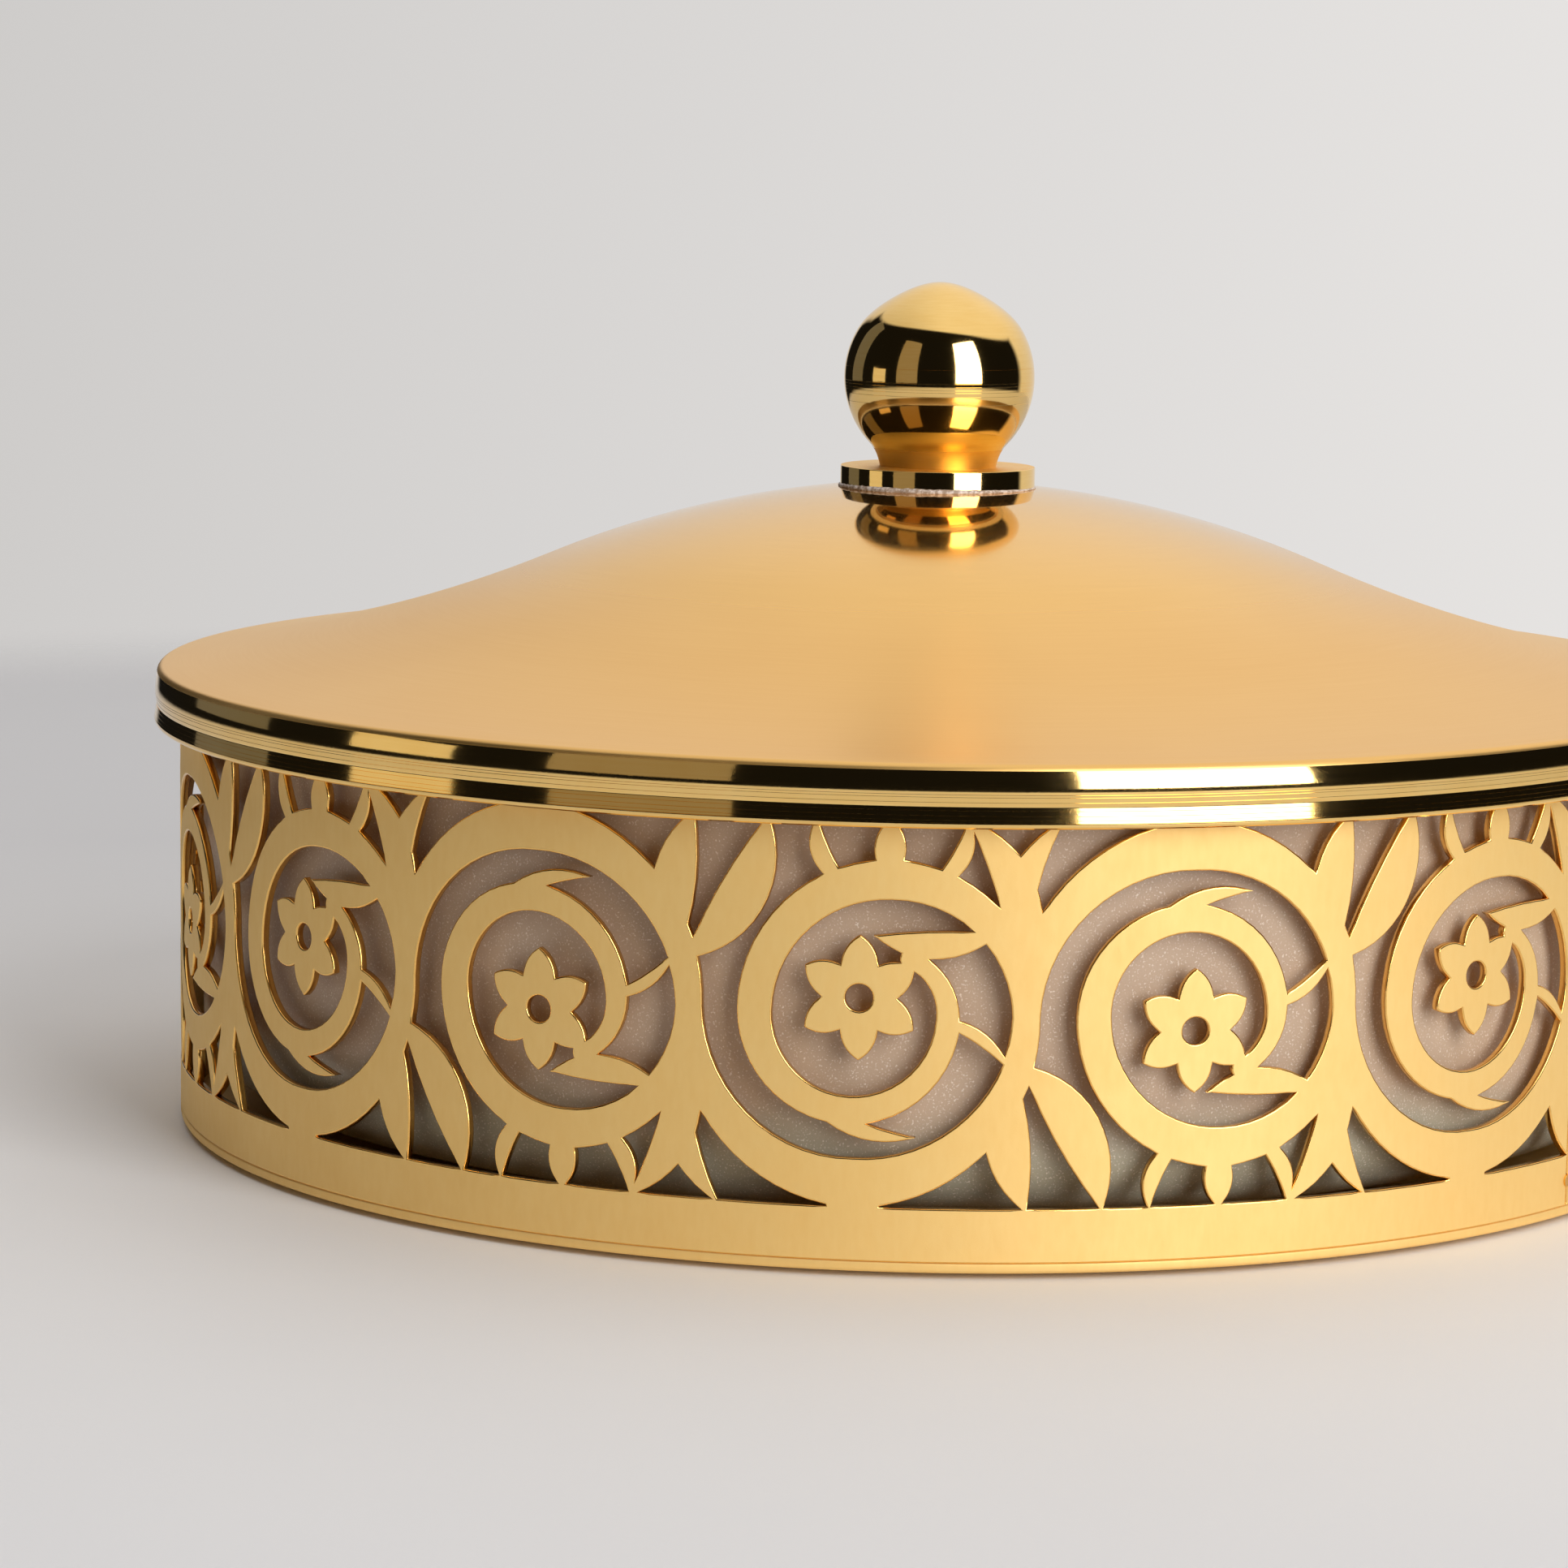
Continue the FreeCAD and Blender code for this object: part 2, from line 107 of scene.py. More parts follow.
def deselect() -> None:
    """Leave nothing selected, so that an operator acts on the new piece alone."""
    for item in bpy.context.selected_objects:
        item.select_set(False)


def activate(piece: bpy.types.Object) -> None:
    """Make a piece the only selected object and the active one."""
    deselect()
    piece.select_set(True)
    bpy.context.view_layer.objects.active = piece


def put(name: str, data: bpy.types.ID) -> bpy.types.Object:
    """Put a new object into the scene.

    Args:
        name: Name of the object.
        data: Its mesh, light or camera.

    Returns:
        The object.
    """
    item = bpy.data.objects.new(name, data)
    bpy.context.scene.collection.objects.link(item)
    return item


def settle(name: str) -> bpy.types.Object:
    """Name the piece that an operator has just added and move its place into its mesh.

    Args:
        name: Name of the piece.

    Returns:
        The piece, at the origin.
    """
    piece = bpy.context.object
    piece.name = name
    bpy.ops.object.transform_apply(location=True, rotation=True, scale=True)
    return piece


def edit(piece: bpy.types.Object) -> None:
    """Open a piece in edit mode, with all its points selected."""
    activate(piece)
    bpy.ops.object.mode_set(mode="EDIT")
    bpy.ops.mesh.select_mode(type="VERT")
    bpy.ops.mesh.select_all(action="SELECT")


def close_edit() -> None:
    """Go back to object mode."""
    bpy.ops.object.mode_set(mode="OBJECT")


def smooth(piece: bpy.types.Object, degrees: float) -> None:
    """Shade a piece smooth, with edges sharper than an angle kept crisp.

    Args:
        piece: The mesh object.
        degrees: Angle between faces above which an edge stays sharp.
    """
    activate(piece)
    bpy.ops.object.shade_smooth_by_angle(angle=math.radians(degrees))


def apply_modifiers(piece: bpy.types.Object) -> None:
    """Apply every modifier of a piece, in order."""
    activate(piece)
    for name in [modifier.name for modifier in piece.modifiers]:
        bpy.ops.object.modifier_apply(modifier=name)


def fit(piece: bpy.types.Object, body: Body, slot: Slot, *nodes: str) -> None:
    """Ride a piece on its body and let it stand for CAD nodes.

    Args:
        piece: The finished piece.
        body: Body that carries it.
        slot: Material slot of the record; not used.
        nodes: CAD nodes that the piece stands for.
    """
    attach(piece, body.value)
    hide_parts(*nodes)
    log.info("%s: %d faces, rides on %s", piece.name, len(piece.data.polygons), body.value)


def dress(piece: bpy.types.Object, material: bpy.types.Material) -> None:
    """Give a piece one material all over."""
    piece.data.materials.clear()
    piece.data.materials.append(material)


@dataclass
class Outline:
    """Half section of a turned piece, drawn corner by corner, in metres."""

    round_steps: int = 4
    corners: list[tuple[Vector, float]] = field(default_factory=list)

    def to(self, radius: float, height: float, rounding: float = 0.0) -> "Outline":
        """Add a corner.

        Args:
            radius: Distance from the axis.
            height: Height of the corner.
            rounding: Radius of the arc on which the outline turns there.

        Returns:
            The outline, so that calls can be chained.
        """
        self.corners.append((Vector((radius, 0, height)), rounding))
        return self

    def scored(self, radius: float, height: float, shares: tuple[float, ...], depth: float) -> "Outline":
        """Go straight to a corner, with fine turned lines scored on the way.

        Args:
            radius: Distance of the corner from the axis.
            height: Height of the corner.
            shares: Places of the lines, in shares of the way.
            depth: Depth of a line, to the left of the way where it is positive.

        Returns:
            The outline, so that calls can be chained.
        """
        start = self.corners[-1][0]
        way = Vector((radius, 0, height)) - start
        along = way.normalized()
        side = Vector((-along.z, 0, along.x))
        for share in shares:
            place = start + way * share
            for point in (place - along * abs(depth), place + side * depth, place + along * abs(depth)):
                self.to(point.x, point.z)
        return self.to(radius, height)

    def sweep(self, centre: tuple[float, float], radius: float, start: float, end: float, steps: int,
              lines: tuple[float, ...] = (), depth: float = 0.0) -> "Outline":
        """Add points along an arc.

        Args:
            centre: Radius and height of the arc's centre.
            radius: Radius of the arc.
            start: First angle, in degrees, counted from outwards to upwards.
            end: Last angle.
            steps: Number of parts of the arc.
            lines: Angles of fine turned lines on the arc.
            depth: Depth of a line, towards the centre.

        Returns:
            The outline, so that calls can be chained.
        """
        places = [(start + (end - start) * index / steps, 0.0) for index in range(steps + 1)]
        spread = math.degrees(depth / radius)
        for angle in lines:
            places += [(angle - spread, 0.0), (angle, depth), (angle + spread, 0.0)]
        for angle, inset in sorted(places, reverse=end < start):
            turn_by = math.radians(angle)
            out = radius - inset
            self.to(centre[0] + out * math.cos(turn_by), centre[1] + out * math.sin(turn_by))
        return self

    def closed(self) -> "Outline":
        """Return to the first corner, as a ring's section does."""
        self.corners.append(self.corners[0])
        return self

    def points(self) -> list[Vector]:
        """Corners as points, with each rounded one as a short run along its arc."""
        made = []
        for index, (place, rounding) in enumerate(self.corners):
            inner = 0 < index < len(self.corners) - 1
            if not inner or rounding == 0:
                made.append(place)
                continue
            back = (self.corners[index - 1][0] - place).normalized()
            on = (self.corners[index + 1][0] - place).normalized()
            half = back.angle(on) / 2
            centre = place + (back + on).normalized() * (rounding / math.sin(half))
            first = (place + back * (rounding / math.tan(half)) - centre).normalized()
            last = (place + on * (rounding / math.tan(half)) - centre).normalized()
            for step in range(self.round_steps + 1):
                made.append(centre + first.slerp(last, step / self.round_steps) * rounding)
        return made


def turn(name: str, outline: Outline, steps: int, crisp_degrees: float = 32) -> bpy.types.Object:
    """Turn a piece: draw its half section by extruding a point, then spin it about the axis.

    Args:
        name: Name of the piece.
        outline: Half section, from axis to axis or closed.
        steps: Number of parts of the full turn.
        crisp_degrees: Angle above which an edge stays sharp.

    Returns:
        The turned piece, at the origin with its place in its mesh.
    """
    points = outline.points()
    deselect()
    bpy.ops.mesh.primitive_plane_add(size=MM, location=points[0])
    piece = settle(name)
    piece.data.name = name
    edit(piece)
    bpy.ops.mesh.merge(type="CENTER")
    for here, there in zip(points, points[1:]):
        bpy.ops.mesh.extrude_region_move(TRANSFORM_OT_translate={"value": there - here})
    bpy.ops.mesh.select_all(action="SELECT")
    bpy.ops.mesh.spin(steps=steps, angle=FULL_TURN, center=(0, 0, 0), axis=(0, 0, 1))
    bpy.ops.mesh.select_all(action="SELECT")
    bpy.ops.mesh.remove_doubles(threshold=MERGE)
    bpy.ops.mesh.normals_make_consistent(inside=False)
    close_edit()
    smooth(piece, crisp_degrees)
    return piece


class Bench:
    """A node tree under construction, with short calls that add and join its nodes."""

    def __init__(self, tree: bpy.types.NodeTree) -> None:
        """Start on a node tree.

        Args:
            tree: Node tree of a material or of the world.
        """
        self.tree = tree

    def add(self, kind: str, settings: dict | None = None, **inputs: object) -> bpy.types.Node:
        """Add a node.

        Args:
            kind: Type name of the node.
            settings: Attributes of the node.
            inputs: Values or sockets for its inputs, by name with underscores for spaces.

        Returns:
            The node.
        """
        node = self.tree.nodes.new(kind)
        for key, value in (settings or {}).items():
            setattr(node, key, value)
        for key, value in inputs.items():
            self.feed(node.inputs[key.replace("_", " ")], value)
        return node

    def feed(self, socket: bpy.types.NodeSocket, value: object) -> None:
        """Link a socket or set its value."""
        if isinstance(value, bpy.types.NodeSocket):
            self.tree.links.new(value, socket)
        else:
            socket.default_value = value

    def sum(self, operation: str, first: object, second: object = 0.0) -> bpy.types.NodeSocket:
        """Join two numbers by a math node and return its result."""
        node = self.add("ShaderNodeMath", {"operation": operation})
        self.feed(node.inputs[0], first)
        self.feed(node.inputs[1], second)
        return node.outputs[0]

    def aim(self, operation: str, first: object, second: object = None) -> bpy.types.Node:
        """Join two vectors by a vector math node and return the node."""
        node = self.add("ShaderNodeVectorMath", {"operation": operation})
        self.feed(node.inputs[0], first)
        if second is not None:
            self.feed(node.inputs[1], second)
        return node

    def split(self, vector: object) -> bpy.types.NodeOutputs:
        """Take a vector apart."""
        return self.add("ShaderNodeSeparateXYZ", Vector=vector).outputs

    def level(self, vector: object) -> bpy.types.NodeSocket:
        """Drop the height from a vector."""
        parts = self.split(vector)
        return self.add("ShaderNodeCombineXYZ", X=parts["X"], Y=parts["Y"]).outputs[0]

    def stretch(self, value: object, low: float, high: float, new_low: float, new_high: float,
                curve: str = "LINEAR") -> bpy.types.NodeSocket:
        """Map a number from one range to another, clamped at its ends."""
        node = self.add("ShaderNodeMapRange", {"interpolation_type": curve}, Value=value, From_Min=low,
                        From_Max=high, To_Min=new_low, To_Max=new_high)
        return node.outputs[0]

    def mix(self, share: object, first: object, second: object) -> bpy.types.NodeSocket:
        """Mix two colours by a share."""
        node = self.add("ShaderNodeMix", {"data_type": "RGBA"})
        self.feed(node.inputs[0], share)
        self.feed(node.inputs[MIX_FIRST], first)
        self.feed(node.inputs[MIX_SECOND], second)
        return node.outputs[2]


class Recipe(Bench):
    """A material under construction."""

    def __init__(self, name: str) -> None:
        """Start a material that holds one principled shader.

        Args:
            name: Name of the material.
        """
        self.material = bpy.data.materials.new(name)
        self.material.use_nodes = True
        super().__init__(self.material.node_tree)
        self.shader = self.tree.nodes["Principled BSDF"]
        self.place = self.add("ShaderNodeTexCoord").outputs["Object"]

    def specks(self, scale: float, detail: float = 2.0, vector: object = None) -> bpy.types.NodeSocket:
        """Noise at a number of specks per metre."""
        node = self.add("ShaderNodeTexNoise", Vector=vector or self.place, Scale=scale, Detail=detail)
        return node.outputs["Fac"]

    def spread(self, pattern: object, low: float, high: float) -> bpy.types.NodeSocket:
        """Map the usual values of a noise to a range."""
        return self.stretch(pattern, NOISE_LOW, NOISE_HIGH, low, high)

    def two_tone(self, pattern: object, dark: Colour, pale: Colour, low: float = NOISE_LOW,
                 high: float = NOISE_HIGH) -> bpy.types.NodeSocket:
        """Mix two colours by a pattern, between two of its levels."""
        return self.mix(self.stretch(pattern, low, high, 0, 1), dark, pale)

    def outwards(self) -> bpy.types.NodeSocket:
        """Level way from the bowl's axis, of one unit."""
        return self.aim("NORMALIZE", self.level(self.place)).outputs[0]

    def radius(self) -> bpy.types.NodeSocket:
        """Distance from the bowl's axis."""
        return self.aim("LENGTH", self.level(self.place)).outputs["Value"]

    def height(self) -> bpy.types.NodeSocket:
        """Height above the table."""
        return self.split(self.place)["Z"]

    def turned_lines(self, lines_per_metre: float, break_up: float) -> bpy.types.NodeSocket:
        """Fine lines round the axis, as a turning tool or a spun polishing pad leaves.

        Args:
            lines_per_metre: How many lines cross a metre of the section.
            break_up: How often a line fades along its way round.

        Returns:
            Socket of the line pattern, from 0 to 1.
        """
        turns = self.split(self.outwards())
        vector = self.add(
            "ShaderNodeCombineXYZ",
            X=self.sum("MULTIPLY", turns["X"], break_up),
            Y=self.sum("MULTIPLY", turns["Y"], break_up),
            Z=self.sum("MULTIPLY", self.radius(), lines_per_metre),
        )
        across = self.sum("MULTIPLY", self.height(), lines_per_metre)
        lines = self.add("ShaderNodeTexNoise", {"noise_dimensions": "4D"}, Vector=vector.outputs[0], W=across,
                         Scale=1.0, Detail=2.0)
        return lines.outputs["Fac"]

    def raise_by(self, pattern: object, depth: float, normal: object = None) -> bpy.types.NodeSocket:
        """Bump a pattern by a depth in metres and return the normal."""
        bump = self.add("ShaderNodeBump", Strength=1.0, Distance=depth, Height=pattern)
        if normal is not None:
            self.feed(bump.inputs["Normal"], normal)
        return bump.outputs["Normal"]

    def finish(self, colour: object, roughness: object, normal: object = None,
               **levels: object) -> bpy.types.Material:
        """Join colour, roughness and normal to the shader and set its other levels.

        Args:
            colour: Base colour, as a value or a socket.
            roughness: Roughness, as a value or a socket.
            normal: Socket of the bumped normal.
            levels: Other inputs of the shader, by name with underscores for spaces.

        Returns:
            The finished material.
        """
        self.feed(self.shader.inputs["Base Color"], colour)
        self.feed(self.shader.inputs["Roughness"], roughness)
        if normal is not None:
            self.feed(self.shader.inputs["Normal"], normal)
        for key, value in levels.items():
            self.feed(self.shader.inputs[key.replace("_", " ")], value)
        return self.material


@dataclass(frozen=True)
class GoldPlate:
    """Gold plate over turned or rolled metal, from mirror to satin."""

    name: str
    colour: Colour = (0.98, 0.68, 0.26, 1)
    deep_colour: Colour = (0.93, 0.60, 0.19, 1)
    roughness: float = 0.06
    roughness_spread: float = 0.02
    outer_roughness: float = 0.0
    polished_radius: float = 30 * MM
    satin_radius: float = 85 * MM
    matt_roughness: float = 0.0
    matt_scale: float = 9000
    matt_low: float = 0.59
    matt_high: float = 0.65
    grain: Grain = Grain.TURNED
    lines_per_metre: float = 3500
    line_depth: float = 0.0000005
    break_up: float = 3.0
    speck_scale: float = 2600
    speck_low: float = 0.62
    speck_high: float = 0.75
    speck_depth: float = 0.0000006
    ripple_scale: float = 140
    ripple_depth: float = 0.000004
    metallic: float = 1.0

    def material(self) -> bpy.types.Material:
        """Plate with tool lines, a faint ripple and the fine specks of plating."""
        recipe = Recipe(self.name)
        if self.grain is Grain.TURNED:
            lines = recipe.turned_lines(self.lines_per_metre, self.break_up)
        else:
            squeeze = recipe.add("ShaderNodeMapping", Vector=recipe.place, Scale=(1, 1, self.break_up))
            lines = recipe.specks(self.lines_per_metre, 3.0, squeeze.outputs[0])
        cloud = recipe.specks(self.ripple_scale, 3.0)
        specks = recipe.specks(self.speck_scale, 1.0)
        shade = recipe.sum("ADD", recipe.spread(lines, 0, 0.5), recipe.spread(cloud, 0, 0.5))
        colour = recipe.mix(shade, self.deep_colour, self.colour)
        low = self.roughness - self.roughness_spread
        high = self.roughness + self.roughness_spread
        roughness = recipe.stretch(shade, 0.0, 1.0, high, low)
        if self.outer_roughness:
            more = self.outer_roughness - self.roughness
            place = recipe.radius()
            worn = recipe.stretch(place, self.polished_radius, self.satin_radius, 0, more, "SMOOTHSTEP")
            roughness = recipe.sum("ADD", roughness, worn)
        if self.matt_roughness:
            flecks = recipe.specks(self.matt_scale, 1.0)
            matt = recipe.stretch(flecks, self.matt_low, self.matt_high, 0, self.matt_roughness)
            roughness = recipe.sum("MAXIMUM", roughness, matt)
        raised = recipe.stretch(specks, self.speck_low, self.speck_high, 0, 1)
        normal = recipe.raise_by(lines, self.line_depth)
        normal = recipe.raise_by(raised, self.speck_depth, normal)
        normal = recipe.raise_by(cloud, self.ripple_depth, normal)
        return recipe.finish(colour, roughness, normal, Metallic=self.metallic)


@dataclass(frozen=True)
class FrostedLiner:
    """Smoke-taupe frosted glass, with pale dots painted as glints and painted shade outside at its foot."""

    name: str = "frosted_liner"
    pale: Colour = (0.54, 0.40, 0.285, 1)
    dark: Colour = (0.48, 0.35, 0.245, 1)
    # Colour of the painted shade outside the liner, low down at its foot
    foot: Colour = (0.38, 0.35, 0.26, 1)
    # Colour of the pale dots painted as glints of the frosted grain
    painted_glint: Colour = (0.92, 0.84, 0.74, 1)
    sparkle_scale: float = 3600
    sparkle_low: float = 0.60
    sparkle_high: float = 0.74
    sparkle_share: float = 0.6
    cloud_scale: float = 60
    frost_scale: float = 1500
    frost_depth: float = 0.00003
    roughness: float = 0.42
    roughness_spread: float = 0.1
    painted_shade_low: float = 14 * MM
    painted_shade_high: float = 24 * MM
    painted_shade_ragged: float = 2 * MM
    facing_limit: float = 0.5
    gloss: float = 0.5

    def material(self) -> bpy.types.Material:
        """Cloudy body colour, with painted shade outside at the foot, pale dots painted as glints and a
        frosted grain.
        """
        recipe = Recipe(self.name)
        cloud = recipe.specks(self.cloud_scale, 4.0)
        grain = recipe.specks(self.frost_scale, 2.0)
        body = recipe.two_tone(cloud, self.dark, self.pale)
        # Painted shade: outside and below a ragged height, the liner takes the foot colour
        ragged = recipe.spread(cloud, -self.painted_shade_ragged, self.painted_shade_ragged)
        height = recipe.sum("ADD", recipe.height(), ragged)
        above = recipe.stretch(height, self.painted_shade_low, self.painted_shade_high, 0, 1, "SMOOTHSTEP")
        out_and_down = recipe.aim("SUBTRACT", recipe.outwards(), (0, 0, 1)).outputs[0]
        facing = recipe.add("ShaderNodeNewGeometry").outputs["Normal"]
        outside = recipe.aim("DOT_PRODUCT", facing, out_and_down).outputs["Value"]
        inside = recipe.stretch(outside, -self.facing_limit, self.facing_limit, 1, 0)
        body = recipe.mix(recipe.sum("MAXIMUM", above, inside), self.foot, body)
        # Painted glints: pale dots mixed into the colour
        glint_noise = recipe.specks(self.sparkle_scale, 1.0)
        painted_glints = recipe.stretch(glint_noise, self.sparkle_low, self.sparkle_high, 0, self.sparkle_share)
        colour = recipe.mix(painted_glints, body, self.painted_glint)
        low = self.roughness - self.roughness_spread
        high = self.roughness + self.roughness_spread
        normal = recipe.raise_by(grain, self.frost_depth)
        return recipe.finish(colour, recipe.spread(grain, low, high), normal, Specular_IOR_Level=self.gloss)


@dataclass(frozen=True)
class PressedFelt:
    """Dark pressed felt of the foot pads."""

    name: str = "felt"
    dark: Colour = (0.035, 0.026, 0.020, 1)
    pale: Colour = (0.10, 0.078, 0.062, 1)
    dark_level: float = 0.35
    pale_level: float = 0.65
    fibre_scale: float = 2200
    fibre_detail: float = 5.0
    fibre_depth: float = 0.00012
    roughness: float = 0.95
    sheen: float = 0.3

    def material(self) -> bpy.types.Material:
        """Matted fibres with a soft sheen."""
        recipe = Recipe(self.name)
        fibres = recipe.specks(self.fibre_scale, self.fibre_detail)
        colour = recipe.two_tone(fibres, self.dark, self.pale, self.dark_level, self.pale_level)
        normal = recipe.raise_by(fibres, self.fibre_depth)
        return recipe.finish(colour, self.roughness, normal, Sheen_Weight=self.sheen)


@dataclass(frozen=True)
class ScrewSteel:
    """Zinc-plated steel of the screw and washer."""

    name: str = "screw_steel"
    pale: Colour = (0.66, 0.65, 0.62, 1)
    dark: Colour = (0.45, 0.44, 0.42, 1)
    dark_level: float = 0.35
    pale_level: float = 0.65
    dark_roughness: float = 0.38
    pale_roughness: float = 0.26
    cloud_scale: float = 700
    lines_per_metre: float = 5200
    break_up: float = 2.0
    line_depth: float = 0.000003

    def material(self) -> bpy.types.Material:
        """Turned steel with a cloudy zinc bloom."""
        recipe = Recipe(self.name)
        lines = recipe.turned_lines(self.lines_per_metre, self.break_up)
        cloud = recipe.specks(self.cloud_scale, 3.0)
        colour = recipe.two_tone(cloud, self.dark, self.pale, self.dark_level, self.pale_level)
        roughness = recipe.spread(cloud, self.dark_roughness, self.pale_roughness)
        normal = recipe.raise_by(lines, self.line_depth)
        return recipe.finish(colour, roughness, normal, Metallic=1.0)


@dataclass(frozen=True)
class GlueBead:
    """Pale glue that was pressed out under the knob's flange."""

    name: str = "glue"
    pale: Colour = (0.80, 0.70, 0.64, 1)
    dark: Colour = (0.42, 0.30, 0.22, 1)
    dark_level: float = 0.42
    pale_level: float = 0.62
    speck_scale: float = 1800
    speck_depth: float = 0.00005
    roughness: float = 0.3

    def material(self) -> bpy.types.Material:
        """Milky glue with brown specks."""
        recipe = Recipe(self.name)
        specks = recipe.specks(self.speck_scale, 3.0)
        colour = recipe.two_tone(specks, self.dark, self.pale, self.dark_level, self.pale_level)
        normal = recipe.raise_by(specks, self.speck_depth)
        return recipe.finish(colour, self.roughness, normal)


POLISHED = GoldPlate("polished_gold")
SATIN = GoldPlate(
    "satin_gold", colour=(0.93, 0.57, 0.19, 1), deep_colour=(0.90, 0.54, 0.175, 1), roughness=0.05,
    roughness_spread=0.01, outer_roughness=0.38, matt_roughness=0.26, lines_per_metre=2600,
    line_depth=0.0000010, break_up=5.0, ripple_scale=25, ripple_depth=0.000003,
)
ROLLED = GoldPlate(
    "band_gold", colour=(0.95, 0.66, 0.25, 1), deep_colour=(0.92, 0.62, 0.22, 1), roughness=0.58,
    roughness_spread=0.04, grain=Grain.ROLLED, lines_per_metre=900, line_depth=0.000006, break_up=0.35,
    ripple_scale=90, ripple_depth=0.00002, speck_depth=0.000004, metallic=0.6,
)
CUT = GoldPlate(
    "cut_gold", colour=(0.97, 0.62, 0.20, 1), deep_colour=(0.90, 0.52, 0.14, 1), roughness=0.16,
    roughness_spread=0.05, grain=Grain.ROLLED, lines_per_metre=1500, line_depth=0.000004, break_up=1.0,
)
TURNED = GoldPlate(
    "turned_gold", colour=(0.99, 0.62, 0.17, 1), deep_colour=(0.95, 0.54, 0.11, 1), roughness=0.40,
    roughness_spread=0.05, lines_per_metre=5000, line_depth=0.000002,
)
SOLDERED = GoldPlate(
    "solder", colour=(0.90, 0.60, 0.22, 1), deep_colour=(0.60, 0.32, 0.08, 1), roughness=0.22,
    roughness_spread=0.08, grain=Grain.ROLLED, lines_per_metre=1500, line_depth=0.00005, break_up=1.0,
)


def left_of_way(way: Vector) -> Vector:
    """Way to the left of a flat one."""
    return Vector((-way.y, way.x))


def steps_along(start: Vector, way: Vector, longest: float) -> list[Vector]:
    """Points on a straight way, without its end, no further apart than a length."""
    parts = max(1, math.ceil(way.length / longest))
    return [start + way * (part / parts) for part in range(parts)]


@dataclass
class CutEdge:
    """One closed cut edge of the flat sheet, with the metal on its left."""

    points: list[Vector]
    rooms: list[float] = field(default_factory=list)

    def count(self) -> int:
        """Number of points."""
        return len(self.points)

    def ways(self, index: int) -> tuple[Vector, Vector]:
        """Unit ways into and out of a point."""
        here = self.points[index]
        there = self.points[(index + 1) % self.count()]
        return (here - self.points[index - 1]).normalized(), (there - here).normalized()

    def turning(self, index: int) -> float:
        """Angle by which the edge turns at a point."""
        before, after = self.ways(index)
        return before.angle(after)

    def inwards(self, index: int, least_miter: float) -> Vector:
        """Way into the metal at a point.

        Args:
            index: Number of the point.
            least_miter: Least sine of half a corner, which limits the reach at a sharp one.

        Returns:
            The way, of one unit, or longer at a corner of the metal so that both its edges move by one unit.
        """
        before, after = self.ways(index)
        middle = (left_of_way(before) + left_of_way(after)).normalized()
        if before.cross(after) <= 0:
            return middle
        return middle / max(least_miter, middle.dot(left_of_way(before)))

    def is_barb(self, index: int, longest: float) -> bool:
        """Whether a point is the tip of a spike with sides shorter than a length."""
        here = self.points[index]
        sides = (here - self.points[index - 1], self.points[(index + 1) % self.count()] - here)
        return max(side.length for side in sides) < longest and self.turning(index) > BARB_TURN

    def thinned(self, least: float, sharp: float) -> "CutEdge":
        """Same edge without points that stand too close, with its corners kept.

        Args:
            least: Least distance between points.
            sharp: Turning angle from which a point is a corner.

        Returns:
            The thinned edge.
        """
        kept = []
        for index, point in enumerate(self.points):
            corner = self.turning(index) > sharp
            if self.is_barb(index, 2 * least):
                continue
            while corner and kept and not kept[-1][1] and (kept[-1][0] - point).length < least:
                kept.pop()
            if corner or not kept or (kept[-1][0] - point).length >= least:
                kept.append((point, corner))
        while len(kept) > 3 and (kept[-1][0] - kept[0][0]).length < least:
            kept.pop(0 if kept[-1][1] else -1)
        return CutEdge([point for point, _ in kept])

    def divided(self, longest: float) -> "CutEdge":
        """Same edge with long straight stretches in parts."""
        made = []
        for index, here in enumerate(self.points):
            there = self.points[(index + 1) % self.count()]
            parts = max(1, math.ceil((there - here).length / longest))
            made += [here.lerp(there, part / parts) for part in range(parts)]
        return CutEdge(made)

    def even_out(self, slope: float) -> None:
        """Let the rounding grow no faster along the edge than a slope allows."""
        for order in (range(-self.count(), self.count()), range(self.count() - 1, -self.count() - 1, -1)):
            for index in order:
                step = order.step
                other = (index - step) % self.count()
                gap = (self.points[index] - self.points[other]).length
                self.rooms[index] = min(self.rooms[index], self.rooms[other] + slope * gap)


